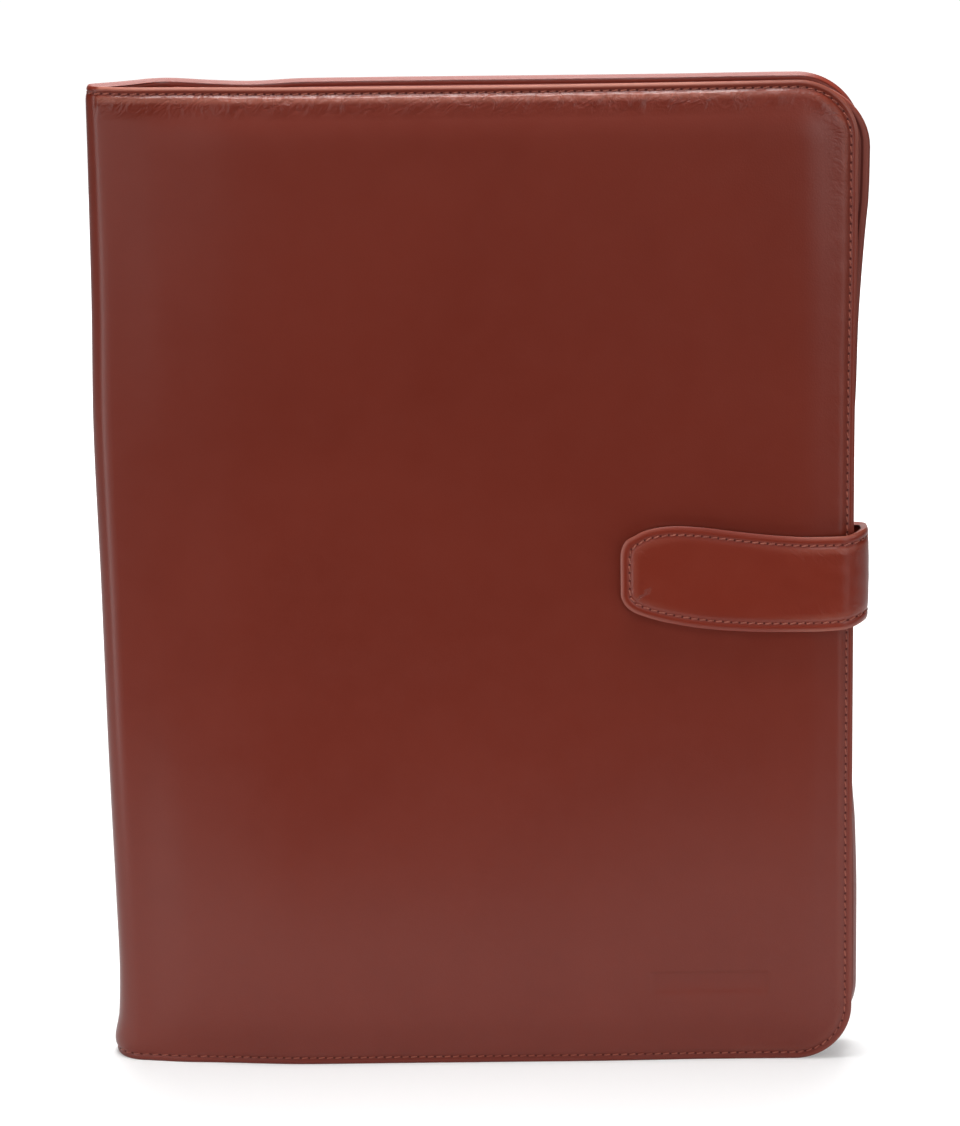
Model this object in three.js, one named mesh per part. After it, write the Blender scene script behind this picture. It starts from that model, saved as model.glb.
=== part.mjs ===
// Leather document case: a folio of A4 size, closed by a strap and standing on its lower edge.
// Millimetres, +Z up, front cover facing -Y, spine on the -X side.
import * as THREE from 'three';

// Driving dimensions of the covers

const coverWidth = 251;
const caseHeight = 340;
const wrapThickness = 2.4;
const panelThickness = 3;
const clearSpace = 8.6;
const seatGap = 0.3;
const frontCornerRadius = 19.5;
const backCornerRadius = 22;
const backOverlap = 2.7;

// Driving dimensions of the spine: inner bend radii, and how far the back cover starts from the fold

const foldInnerRadius = 3.6;
const hingeInnerRadius = 9.6;
const spineReach = 24;
const foldBulge = 4.5;
const foldReach = 34;
const spineBulge = 1.2;

// Driving dimensions of the sewn edges and the padding inside them

const padHeight = 1;
const padInset = 9;

// Driving dimensions of the soft shape of the covers

const frontBow = 4.6;
const backSway = 2.6;
const backDip = 0.9;
const backEdgePull = 2.8;
const lipSpread = 0.7;
const edgeEase = 40;

// Driving dimensions of the inner panels

const panelInset = 1;
const panelCornerRadius = 22;
const panelOverhang = 5;
const panelHingeGap = 12;
const panelFloorGap = 0.6;

// Driving dimensions of the strap and its press stud

const strapWidth = 34;
const strapThickness = 2.2;
const strapPad = 1;
const strapPadInset = 7;
const strapReach = 78;
const strapMiddle = 172.5;
const strapSlack = 2.9;
const strapFrontBend = 7.5;
const strapBackBend = 5;
const strapRoot = 62;
const studRadius = 6;
const studThickness = 0.8;
const studFromTip = 18;

// Numbers of steps along the faceted surfaces

const cornerSteps = 7;
const frontSteps = 13;
const foldSteps = 8;
const spineSteps = 5;
const hingeSteps = 5;
const backSteps = 11;
const bodyRows = 14;
const strapRows = 5;
const strapBendParts = 16;
const strapRootParts = 5;
const studSides = 24;
const crowding = 1.3;

// Sizes that follow from the driving dimensions

const wallStack = wrapThickness + seatGap + panelThickness;
const caseDepth = 2 * wallStack + clearSpace;
const frontY = -caseDepth / 2;
const backY = caseDepth / 2;
const foldX = -coverWidth / 2;
const lipX = coverWidth / 2;
const backEdgeX = lipX + backOverlap;
const strapStandOff = studThickness + 2 * seatGap;

// Spine and fold, by height: push moves the fold outwards as a share of foldBulge, round widens the
// fold as a share of foldInnerRadius and swell bows the spine as a share of spineBulge
const SPINE_SHAPE = [
  { height: 0, push: 0.81, round: 1.9, swell: 0.3 },
  { height: 0.014, push: 1, round: 1.8, swell: 0.3 },
  { height: 0.042, push: 0.62, round: 1.6, swell: 0 },
  { height: 0.065, push: 0.49, round: 1.4, swell: -0.2 },
  { height: 0.106, push: 0.4, round: 1.2, swell: 0.1 },
  { height: 0.17, push: 0.45, round: 1.1, swell: 0.5 },
  { height: 0.34, push: 0.59, round: 1, swell: 0.9 },
  { height: 0.49, push: 0.64, round: 1, swell: 1 },
  { height: 0.65, push: 0.78, round: 1, swell: 1 },
  { height: 0.79, push: 0.56, round: 1, swell: 0.8 },
  { height: 0.93, push: 0.44, round: 0.8, swell: 0.3 },
  { height: 0.985, push: 0.4, round: 0.6, swell: -0.3 },
  { height: 1, push: 0.26, round: 0.5, swell: -0.4 },
];

// Sewn edge, from the cut edge inwards: inset as a share of padInset, rise as a share of padHeight
const EDGE_RELIEF = [
  { inset: 0, rise: -0.35 },
  { inset: 0.2, rise: 0.1 },
  { inset: 0.5, rise: -0.3 },
  { inset: 0.75, rise: 0.55 },
  { inset: 1, rise: 0.85 },
  { inset: 1.8, rise: 1 },
];

const SEWN_SHARES = EDGE_RELIEF.map((row) => row.inset).filter((inset) => inset <= 1);

// Forward bow of the front cover: across runs from the fold to the lip, bow is a share of frontBow
const FRONT_ACROSS = [
  { across: 0.04, bow: 0 },
  { across: 0.1, bow: 0.46 },
  { across: 0.16, bow: 0.72 },
  { across: 0.245, bow: 1 },
  { across: 0.38, bow: 0.82 },
  { across: 0.52, bow: 0.64 },
  { across: 0.66, bow: 0.46 },
  { across: 0.8, bow: 0.12 },
  { across: 0.93, bow: 0 },
];

// The same by height, where the strap holds the cover flat in the middle; lip spreads the free edge
const FRONT_UP = [
  { height: 0, bow: 1, lip: 0.4 },
  { height: 0.12, bow: 0.9, lip: 0.3 },
  { height: 0.3, bow: 0.4, lip: 0 },
  { height: 0.42, bow: 0, lip: 0 },
  { height: 0.6, bow: 0, lip: 0 },
  { height: 0.72, bow: 0.2, lip: 0.3 },
  { height: 0.82, bow: 0.25, lip: 0.9 },
  { height: 0.93, bow: 0.15, lip: 1 },
  { height: 1, bow: 0, lip: 1 },
];

// Back cover: across runs from the hinge to the free edge, sway goes inwards, dip lowers the top edge
const BACK_ACROSS = [
  { across: 0, sway: 0, dip: 0 },
  { across: 0.06, sway: 0.6, dip: 0.6 },
  { across: 0.12, sway: 1, dip: 1 },
  { across: 0.2, sway: 0.9, dip: 0.2 },
  { across: 0.45, sway: 1, dip: 0 },
  { across: 0.7, sway: 0.85, dip: 0 },
  { across: 0.86, sway: 0.2, dip: 0 },
  { across: 1, sway: 0, dip: 0 },
];

// The same by height: pull draws the free edge in behind the strap, as a share of backEdgePull
const BACK_UP = [
  { height: 0, sway: 0, dip: 0, pull: 0 },
  { height: 0.15, sway: 0.1, dip: 0, pull: 0 },
  { height: 0.235, sway: 0.1, dip: 0, pull: 0.25 },
  { height: 0.28, sway: 0.05, dip: 0, pull: 0.65 },
  { height: 0.38, sway: 0, dip: 0, pull: 1 },
  { height: 0.62, sway: 0, dip: 0, pull: 1 },
  { height: 0.76, sway: 0.3, dip: 0, pull: 0.7 },
  { height: 0.9, sway: 0.8, dip: 0.3, pull: 0.1 },
  { height: 1, sway: 1, dip: 1, pull: 0 },
];

// Inner panel of the front cover: its free edge stands out past the lip near the top corner
const PANEL_EDGE = [
  { height: 0, out: 0 },
  { height: 0.56, out: 0 },
  { height: 0.64, out: 0.12 },
  { height: 0.7, out: 0.3 },
  { height: 0.76, out: 0.36 },
  { height: 0.8, out: 0.48 },
  { height: 0.85, out: 0.72 },
  { height: 0.89, out: 0.95 },
  { height: 0.94, out: 1 },
  { height: 1, out: 1 },
];

// Strap outline: leg 0 is the tip, 1 the start of the bend at the front, 2 its end at the back and
// 3 the sewn root; top and foot are shares of half of strapWidth above and below strapMiddle
const STRAP_OUTLINE = [
  { leg: 0, top: 0.56, foot: 0.16 },
  { leg: 0.02, top: 0.76, foot: 0.3 },
  { leg: 0.06, top: 0.87, foot: 0.53 },
  { leg: 0.12, top: 0.98, foot: 0.67 },
  { leg: 0.23, top: 1.11, foot: 0.83 },
  { leg: 0.37, top: 1.09, foot: 0.96 },
  { leg: 0.51, top: 1.01, foot: 1.02 },
  { leg: 0.7, top: 0.92, foot: 1.05 },
  { leg: 0.86, top: 0.88, foot: 1.05 },
  { leg: 1, top: 0.89, foot: 1.02 },
  { leg: 1.3, top: 0.97, foot: 0.9 },
  { leg: 1.6, top: 0.9, foot: 0.96 },
  { leg: 2, top: 0.78, foot: 1.1 },
  { leg: 3, top: 0.78, foot: 1.1 },
];

// Leather colours

const wrapLeather = new THREE.MeshStandardMaterial({ color: 0x6e2b22, roughness: 0.45, metalness: 0 });
const panelLeather = new THREE.MeshStandardMaterial({ color: 0x7c3a30, roughness: 0.6, metalness: 0 });
const strapLeather = new THREE.MeshStandardMaterial({ color: 0x742f24, roughness: 0.42, metalness: 0 });
const studMetal = new THREE.MeshStandardMaterial({ color: 0x9c8a63, roughness: 0.35, metalness: 0.9 });

// A column of a table at any place, on a smooth curve through its rows that never overshoots them
function tableValue(table, key, column, at) {
  const last = table.length - 1;
  if (at <= table[0][key]) return table[0][column];
  if (at >= table[last][key]) return table[last][column];
  let low = 0;
  while (table[low + 1][key] < at) low += 1;
  const climb = (row, name) => table[row + 1][name] - table[row][name];
  const rate = (row) => climb(row, column) / climb(row, key);
  const slopeAt = (row) => {
    if (row === 0 || row === last || rate(row - 1) * rate(row) <= 0) return 0;
    return (2 * rate(row - 1) * rate(row)) / (rate(row - 1) + rate(row));
  };
  const a = table[low];
  const b = table[low + 1];
  const span = b[key] - a[key];
  const t = (at - a[key]) / span;
  const bend = t * t * (3 - 2 * t);
  const leave = t * (1 - t) * (1 - t) * slopeAt(low) * span;
  const arrive = t * t * (t - 1) * slopeAt(low + 1) * span;
  return a[column] + (b[column] - a[column]) * bend + leave + arrive;
}

// A closed sheet between two grids of points, with a rim round its four sides
function sheetGeometry(columns, rows, outerPoint, innerPoint) {
  const positions = [];
  for (const pointAt of [outerPoint, innerPoint]) {
    for (let i = 0; i < columns; i += 1) {
      for (let j = 0; j < rows; j += 1) positions.push(...pointAt(i, j));
    }
  }
  const outer = (i, j) => i * rows + j;
  const inner = (i, j) => (columns + i) * rows + j;
  const faces = [];
  const quad = (a, b, c, d) => faces.push(a, b, c, a, c, d);
  for (let i = 0; i < columns - 1; i += 1) {
    for (let j = 0; j < rows - 1; j += 1) {
      quad(outer(i, j), outer(i, j + 1), outer(i + 1, j + 1), outer(i + 1, j));
      quad(inner(i, j), inner(i + 1, j), inner(i + 1, j + 1), inner(i, j + 1));
    }
    quad(outer(i, 0), outer(i + 1, 0), inner(i + 1, 0), inner(i, 0));
    quad(outer(i, rows - 1), inner(i, rows - 1), inner(i + 1, rows - 1), outer(i + 1, rows - 1));
  }
  for (let j = 0; j < rows - 1; j += 1) {
    quad(outer(0, j), inner(0, j), inner(0, j + 1), outer(0, j + 1));
    quad(outer(columns - 1, j), outer(columns - 1, j + 1), inner(columns - 1, j + 1), inner(columns - 1, j));
  }
  const geometry = new THREE.BufferGeometry();
  geometry.setAttribute('position', new THREE.Float32BufferAttribute(positions, 3));
  geometry.setIndex(faces);
  geometry.computeVertexNormals();
  return geometry;
}

// Heights of the rows between two ends, with rows at the given shares of the sewn edge
function rowHeights(bottom, top, edgeInset, edgeShares, rows) {
  const heights = edgeShares.map((share) => bottom + share * edgeInset);
  const low = bottom + edgeInset;
  const high = top - edgeInset;
  for (let row = 1; row <= rows; row += 1) heights.push(low + ((high - low) * row) / (rows + 1));
  for (const share of [...edgeShares].reverse()) heights.push(top - share * edgeInset);
  return heights;
}

// X of the columns over the flat of the front cover, from its corner to where the fold is widest
function faceColumns() {
  const start = lipX - frontCornerRadius;
  const widestFold = foldInnerRadius * Math.max(...SPINE_SHAPE.map((row) => row.round));
  const end = foldX + widestFold + wrapThickness;
  const columns = [];
  for (let step = 1; step <= frontSteps; step += 1) {
    columns.push(end + (start - end) * (1 - step / frontSteps) ** crowding);
  }
  return columns;
}

// X of the columns over the flat of the back cover, from the hinge to its corner
function backColumns() {
  const start = foldX + spineReach;
  const end = backEdgeX - backCornerRadius;
  const columns = [];
  for (let step = 1; step < backSteps; step += 1) {
    columns.push(start + (end - start) * (step / backSteps) ** crowding);
  }
  return columns;
}

// Columns round a corner: x from the free edge inwards, cut is what the rounding takes off the height
function cornerColumns(edgeX, radius) {
  const columns = [];
  for (let step = 0; step <= cornerSteps; step += 1) {
    const angle = (step / cornerSteps) * (Math.PI / 2);
    columns.push({ x: edgeX - radius * (1 - Math.cos(angle)), cut: radius * (1 - Math.sin(angle)) });
  }
  return columns;
}

// Distance from a place on a cover to its sewn edge, round the corner too
function edgeDistance(x, z, edgeX, radius) {
  const fromEnd = Math.min(z, caseHeight - z);
  const fromEdge = edgeX - x;
  if (fromEnd >= radius || fromEdge >= radius) return Math.min(fromEnd, fromEdge);
  return radius - Math.hypot(radius - fromEdge, radius - fromEnd);
}

// Rise of the leather over the sewn edge and the padding
function edgeRise(distance, inset, height) {
  return height * tableValue(EDGE_RELIEF, 'inset', 'rise', distance / inset);
}

// Outward push of the fold at a height, which fades out along the cover and the spine
function foldShift(x, z) {
  const away = Math.max(0, Math.min(1, (x - foldX) / foldReach));
  const fade = (1 - away * away) ** 2;
  return -foldBulge * tableValue(SPINE_SHAPE, 'height', 'push', z / caseHeight) * fade;
}

// Soft shape of the front cover, which its inner panel follows
function frontShift(x, z) {
  const up = z / caseHeight;
  const across = (x - foldX) / coverWidth;
  const bow = tableValue(FRONT_ACROSS, 'across', 'bow', across) * tableValue(FRONT_UP, 'height', 'bow', up);
  const nearLip = Math.max(0, 1 - (lipX - x) / edgeEase);
  const lip = lipSpread * tableValue(FRONT_UP, 'height', 'lip', up) * nearLip * nearLip;
  return [foldShift(x, z) + lip, -frontBow * bow, 0];
}

// Soft shape of the back cover, which its inner panel follows
function backShift(x, z) {
  const up = z / caseHeight;
  const hingeX = foldX + spineReach;
  const across = (x - hingeX) / (backEdgeX - hingeX);
  const sway = tableValue(BACK_ACROSS, 'across', 'sway', across) * tableValue(BACK_UP, 'height', 'sway', up);
  const dip = tableValue(BACK_ACROSS, 'across', 'dip', across) * tableValue(BACK_UP, 'height', 'dip', up);
  const nearEdge = Math.max(0, 1 - (backEdgeX - x) / edgeEase);
  const pull = backEdgePull * tableValue(BACK_UP, 'height', 'pull', up) * nearEdge * nearEdge;
  return [foldShift(x, z) - pull, -backSway * sway, -backDip * dip];
}

// The spine only moves with its fold
function spineShift(x, z) {
  return [foldShift(x, z), 0, 0];
}

// Fold and hinge seen from above: two arcs and the tangent between them, for the outside of the wrap
function spinePlan(z) {
  const round = tableValue(SPINE_SHAPE, 'height', 'round', z / caseHeight);
  const foldRadius = foldInnerRadius * round + wrapThickness;
  const hingeRadius = hingeInnerRadius + wrapThickness;
  const fold = { x: foldX + foldRadius, y: frontY + foldRadius, radius: foldRadius };
  const hinge = { x: foldX + spineReach, y: backY - hingeRadius, radius: hingeRadius };
  const dx = hinge.x - fold.x;
  const dy = hinge.y - fold.y;
  const slope = Math.atan2(dy, dx) + Math.asin((hingeRadius - foldRadius) / Math.hypot(dx, dy));
  return { fold, hinge, slope };
}

// Stations of the wrap from the front lip, round the spine, to the free edge of the back cover
function wrapStations() {
  const front = cornerColumns(lipX, frontCornerRadius);
  for (const x of faceColumns()) front.push({ x, cut: 0 });
  const stations = front.map((column) => ({ ...column, zone: 'front' }));
  for (let step = 1; step <= foldSteps; step += 1) {
    stations.push({ zone: 'fold', share: step / foldSteps, cut: 0 });
  }
  for (let step = 1; step < spineSteps; step += 1) {
    stations.push({ zone: 'spine', share: step / spineSteps, cut: 0 });
  }
  for (let step = 0; step <= hingeSteps; step += 1) {
    stations.push({ zone: 'hinge', share: step / hingeSteps, cut: 0 });
  }
  const back = backColumns().map((x) => ({ x, cut: 0 }));
  back.push(...cornerColumns(backEdgeX, backCornerRadius).reverse());
  return [...stations, ...back.map((column) => ({ ...column, zone: 'back' }))];
}

// Place of a station on the outside of the wrap at a height, with the way in towards the papers
function wrapPlan(station, z) {
  if (station.zone === 'front') return { x: station.x, y: frontY, inX: 0, inY: 1 };
  if (station.zone === 'back') return { x: station.x, y: backY, inX: 0, inY: -1 };
  const { fold, hinge, slope } = spinePlan(z);
  const [outX, outY] = [-Math.sin(slope), Math.cos(slope)];
  if (station.zone === 'spine') {
    const leave = { x: fold.x + fold.radius * outX, y: fold.y + fold.radius * outY };
    const reach = { x: hinge.x + hinge.radius * outX, y: hinge.y + hinge.radius * outY };
    const swell = tableValue(SPINE_SHAPE, 'height', 'swell', z / caseHeight) * spineBulge;
    const out = swell * Math.sin(Math.PI * station.share);
    return {
      x: leave.x + (reach.x - leave.x) * station.share + out * outX,
      y: leave.y + (reach.y - leave.y) * station.share + out * outY,
      inX: -outX,
      inY: -outY,
    };
  }
  const arc = station.zone === 'fold' ? fold : hinge;
  const turned = station.zone === 'fold' ? (Math.PI - slope) * station.share : slope * (1 - station.share);
  const heading = station.zone === 'fold' ? Math.PI - turned : turned;
  return {
    x: arc.x - arc.radius * Math.sin(heading),
    y: arc.y + arc.radius * Math.cos(heading),
    inX: Math.sin(heading),
    inY: -Math.cos(heading),
  };
}

// Padding of a station: full on the covers and thin over the fold and the spine
function wrapRise(station, x, z) {
  const onBack = station.zone === 'back';
  const edgeX = onBack ? backEdgeX : lipX;
  const radius = onBack ? backCornerRadius : frontCornerRadius;
  const distance = edgeDistance(x, z, edgeX, radius);
  const fromFold = Math.max(0, Math.min(1, (x - foldX) / foldReach));
  const padding = station.zone === 'front' || onBack ? fromFold : 0;
  return edgeRise(distance, padInset, padHeight) * padding;
}

// One point of the wrap: depth 0 is the outside of the leather and 1 the inside
function wrapPoint(station, row, depth) {
  const z = rowHeights(station.cut, caseHeight - station.cut, padInset, SEWN_SHARES, bodyRows)[row];
  const plan = wrapPlan(station, z);
  const inwards = depth === 0 ? -wrapRise(station, plan.x, z) : wrapThickness;
  const softShift = { front: frontShift, back: backShift }[station.zone] ?? spineShift;
  const shift = softShift(plan.x, z);
  return [plan.x + plan.inX * inwards + shift[0], plan.y + plan.inY * inwards + shift[1], z + shift[2]];
}

function outerWrap() {
  const stations = wrapStations();
  const rows = 2 * SEWN_SHARES.length + bodyRows;
  const pointAt = (depth) => (i, j) => wrapPoint(stations[i], j, depth);
  return sheetGeometry(stations.length, rows, pointAt(0), pointAt(1));
}

// Columns of an inner panel, from its rounded free edge to its straight side by the spine: between
// these it has the columns of the cover that it lies against
function panelStations(edgeX, spineX, coverColumns) {
  const corner = cornerColumns(edgeX, panelCornerRadius);
  const cornerX = edgeX - panelCornerRadius;
  const shared = coverColumns.filter((x) => x > spineX + panelInset && x < cornerX - panelInset);
  const flat = [...shared, spineX].sort((a, b) => b - a);
  return [...corner, ...flat.map((x) => ({ x, cut: 0 }))];
}

// Heights of the rows of a panel column, from just above the floor to just under the top of the cover
function panelHeights(column) {
  const heights = rowHeights(column.cut, caseHeight - column.cut, padInset, [0, 1], bodyRows);
  heights[0] += panelFloorGap;
  heights[heights.length - 1] -= panelFloorGap;
  return heights;
}

function frontPanel() {
  const edgeX = lipX - panelInset;
  const stations = panelStations(edgeX, foldX + panelHingeGap, faceColumns());
  const pointAt = (depth) => (i, j) => {
    const { x } = stations[i];
    const z = panelHeights(stations[i])[j];
    const [shiftX, shiftY] = frontShift(x, z);
    const nearEdge = Math.max(0, 1 - (edgeX - x) / edgeEase);
    const out = panelOverhang * tableValue(PANEL_EDGE, 'height', 'out', z / caseHeight) * nearEdge;
    const y = frontY + wrapThickness + seatGap + depth * panelThickness;
    return [x + shiftX + out, y + shiftY, z];
  };
  return sheetGeometry(stations.length, panelHeights(stations[0]).length, pointAt(0), pointAt(1));
}

function backPanel() {
  const spineX = foldX + spineReach + panelInset;
  const stations = panelStations(backEdgeX - panelInset, spineX, backColumns());
  const pointAt = (depth) => (i, j) => {
    const { x } = stations[i];
    const z = panelHeights(stations[i])[j];
    const [shiftX, shiftY, shiftZ] = backShift(x, z);
    const y = backY - wrapThickness - seatGap - panelThickness * (1 - depth);
    return [x + shiftX, y + shiftY, z + shiftZ];
  };
  return sheetGeometry(stations.length, panelHeights(stations[0]).length, pointAt(0), pointAt(1));
}

// Inside of the strap seen from above: front leg, bend round the free edges, and leg on the back cover
function strapPlan(leg) {
  const innerFront = frontY - padHeight - strapStandOff;
  const innerBack = backY + padHeight + seatGap;
  const sideX = backEdgeX - backEdgePull + strapSlack;
  const bendStart = sideX - strapFrontBend;
  if (leg <= 1) {
    const tipX = lipX - strapReach;
    return { x: tipX + (bendStart - tipX) * leg, y: innerFront, outX: 0, outY: -1 };
  }
  if (leg >= 2) {
    const rootStart = sideX - strapBackBend;
    return { x: rootStart - strapRoot * (leg - 2), y: innerBack, outX: 0, outY: 1 };
  }
  const quarter = Math.PI / 2;
  const frontArc = quarter * strapFrontBend;
  const side = innerBack - innerFront - strapFrontBend - strapBackBend;
  const travelled = (leg - 1) * (frontArc + side + quarter * strapBackBend);
  if (travelled <= frontArc) {
    const angle = travelled / strapFrontBend - quarter;
    const [outX, outY] = [Math.cos(angle), Math.sin(angle)];
    return {
      x: bendStart + strapFrontBend * outX,
      y: innerFront + strapFrontBend * (1 + outY),
      outX,
      outY,
    };
  }
  if (travelled <= frontArc + side) {
    return { x: sideX, y: innerFront + strapFrontBend + travelled - frontArc, outX: 1, outY: 0 };
  }
  const angle = (travelled - frontArc - side) / strapBackBend;
  const [outX, outY] = [Math.cos(angle), Math.sin(angle)];
  return {
    x: sideX - strapBackBend * (1 - outX),
    y: innerBack - strapBackBend * (1 - outY),
    outX,
    outY,
  };
}

// Legs at which the strap has a section, from the root to the tip, with more round the bend
function strapLegs() {
  const legs = STRAP_OUTLINE.map((row) => row.leg).filter((leg) => leg <= 1);
  for (let part = 1; part <= strapBendParts; part += 1) legs.push(1 + part / strapBendParts);
  for (let part = 1; part <= strapRootParts; part += 1) legs.push(2 + part / strapRootParts);
  return legs.reverse();
}

// Heights across the strap at a leg, close together over its sewn edges
function strapHeights(leg) {
  const half = strapWidth / 2;
  const top = strapMiddle + half * tableValue(STRAP_OUTLINE, 'leg', 'top', leg);
  const foot = strapMiddle - half * tableValue(STRAP_OUTLINE, 'leg', 'foot', leg);
  const inset = Math.min(strapPadInset, (top - foot) / 3);
  return rowHeights(foot, top, inset, SEWN_SHARES, strapRows);
}

function closureStrap() {
  const legs = strapLegs();
  const rows = strapHeights(0).length;
  const tipX = strapPlan(0).x;
  const outerPoint = (i, j) => {
    const heights = strapHeights(legs[i]);
    const plan = strapPlan(legs[i]);
    const z = heights[j];
    const fromEnd = legs[i] <= 1 ? plan.x - tipX : Infinity;
    const distance = Math.min(z - heights[0], heights[rows - 1] - z, fromEnd);
    const thickness = strapThickness + edgeRise(distance, strapPadInset, strapPad);
    return [plan.x + plan.outX * thickness, plan.y + plan.outY * thickness, z];
  };
  const innerPoint = (i, j) => {
    const plan = strapPlan(legs[i]);
    return [plan.x, plan.y, strapHeights(legs[i])[j]];
  };
  return sheetGeometry(legs.length, rows, outerPoint, innerPoint);
}

function namedMesh(name, geometry, material) {
  const mesh = new THREE.Mesh(geometry, material);
  mesh.name = name;
  return mesh;
}

// Press stud between the tip of the strap and the front cover
function pressStud() {
  const geometry = new THREE.CylinderGeometry(studRadius, studRadius, studThickness, studSides);
  const y = frontY - padHeight - seatGap - studThickness / 2;
  const stud = namedMesh('press_stud', geometry, studMetal);
  stud.position.set(lipX - strapReach + studFromTip, y, strapMiddle);
  return stud;
}

// The origin is on the floor under the middle of the whole case
function standOnFloor(group) {
  const box = new THREE.Box3().setFromObject(group);
  const middle = box.getCenter(new THREE.Vector3());
  group.position.set(-middle.x, -middle.y, -box.min.z);
  return group;
}

const documentCase = new THREE.Group();
documentCase.add(namedMesh('outer_wrap', outerWrap(), wrapLeather));
documentCase.add(namedMesh('front_panel', frontPanel(), panelLeather));
documentCase.add(namedMesh('back_panel', backPanel(), panelLeather));
documentCase.add(namedMesh('closure_strap', closureStrap(), strapLeather));
documentCase.add(pressStud());

export default standOnFloor(documentCase);
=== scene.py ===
"""Looks of the leather document case: a padded A4 folio with a closing strap, standing on its lower edge.

Shapes are worked out in millimetres in the case's own axes, and written to the meshes in metres.
"""
import logging
import math
from dataclasses import dataclass, field
from enum import Enum
from typing import Callable

import bpy
import numpy as np
from mathutils import Matrix, Vector


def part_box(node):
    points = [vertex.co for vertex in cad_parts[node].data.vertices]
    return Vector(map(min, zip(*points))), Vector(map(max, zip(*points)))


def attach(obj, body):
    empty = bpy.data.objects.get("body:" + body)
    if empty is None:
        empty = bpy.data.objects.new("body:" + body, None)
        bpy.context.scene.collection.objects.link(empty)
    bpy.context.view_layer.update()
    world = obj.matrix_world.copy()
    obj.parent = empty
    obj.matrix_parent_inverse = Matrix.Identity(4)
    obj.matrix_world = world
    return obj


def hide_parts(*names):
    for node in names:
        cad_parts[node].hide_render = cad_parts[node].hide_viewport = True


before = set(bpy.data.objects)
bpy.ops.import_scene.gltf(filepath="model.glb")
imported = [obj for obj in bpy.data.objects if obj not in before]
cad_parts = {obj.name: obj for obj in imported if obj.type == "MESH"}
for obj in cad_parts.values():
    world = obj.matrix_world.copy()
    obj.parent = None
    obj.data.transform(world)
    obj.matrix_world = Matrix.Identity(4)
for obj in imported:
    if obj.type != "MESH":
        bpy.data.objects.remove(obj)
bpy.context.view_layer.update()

MM = 0.001
PHOTO_SIZE = (960, 1126)
CHUNK = 4000
RIM = 0.4999
Surface = Callable[[np.ndarray, np.ndarray], np.ndarray]
Colour = tuple[float, float, float, float]
log = logging.getLogger("document_case")


@dataclass(frozen=True)
class Curve:
    """A smooth curve through rows of (place, value) that never overshoots them."""

    rows: tuple[tuple[float, float], ...]

    def __call__(self, at: np.ndarray) -> np.ndarray:
        """Reads the curve.

        Args:
            at: Places along the curve.

        Returns:
            The value at each place, held level past the two ends.
        """
        places, values = np.array(self.rows, float).T
        steps = np.diff(places)
        rates = np.diff(values) / steps
        slopes = np.zeros(len(places))
        before, after = rates[:-1], rates[1:]
        steady = before * after > 0
        slopes[1:-1][steady] = 2 * (before * after)[steady] / (before + after)[steady]
        at = np.clip(np.asarray(at, float), places[0], places[-1])
        low = np.clip(np.searchsorted(places, at, side="right") - 1, 0, len(steps) - 1)
        t = (at - places[low]) / steps[low]
        bend = t * t * (3 - 2 * t)
        leave = t * (1 - t) ** 2 * slopes[low] * steps[low]
        arrive = t * t * (t - 1) * slopes[low + 1] * steps[low]
        return values[low] + (values[low + 1] - values[low]) * bend + leave + arrive


def soft_step(at: np.ndarray, low: float, high: float) -> np.ndarray:
    """Rises smoothly from 0 at low to 1 at high.

    Args:
        at: Places to read.
        low: Place where the rise starts.
        high: Place where it ends.

    Returns:
        The share at each place.
    """
    t = np.clip((np.asarray(at, float) - low) / (high - low), 0, 1)
    return t * t * (3 - 2 * t)


def hill(at: np.ndarray, place: float, width: float) -> np.ndarray:
    """A smooth hill of height 1 round a place."""
    return np.exp(-((at - place) / width) ** 2)


def gathers(at: np.ndarray, rates: tuple[float, float, float], wander: float,
            phase: np.ndarray | float) -> np.ndarray:
    """Uneven waves of leather that its thread gathers.

    Args:
        at: Places along the seam.
        rates: Radians a millimetre of the main wave, of its wandering and of the second wave.
        wander: How far the main wave wanders, in radians.
        phase: Where the second wave starts, in radians.

    Returns:
        The height at each place.
    """
    main, slow, second = rates
    return np.sin(at * main + wander * np.sin(at * slow)) + 0.6 * np.sin(at * second + phase)


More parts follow.
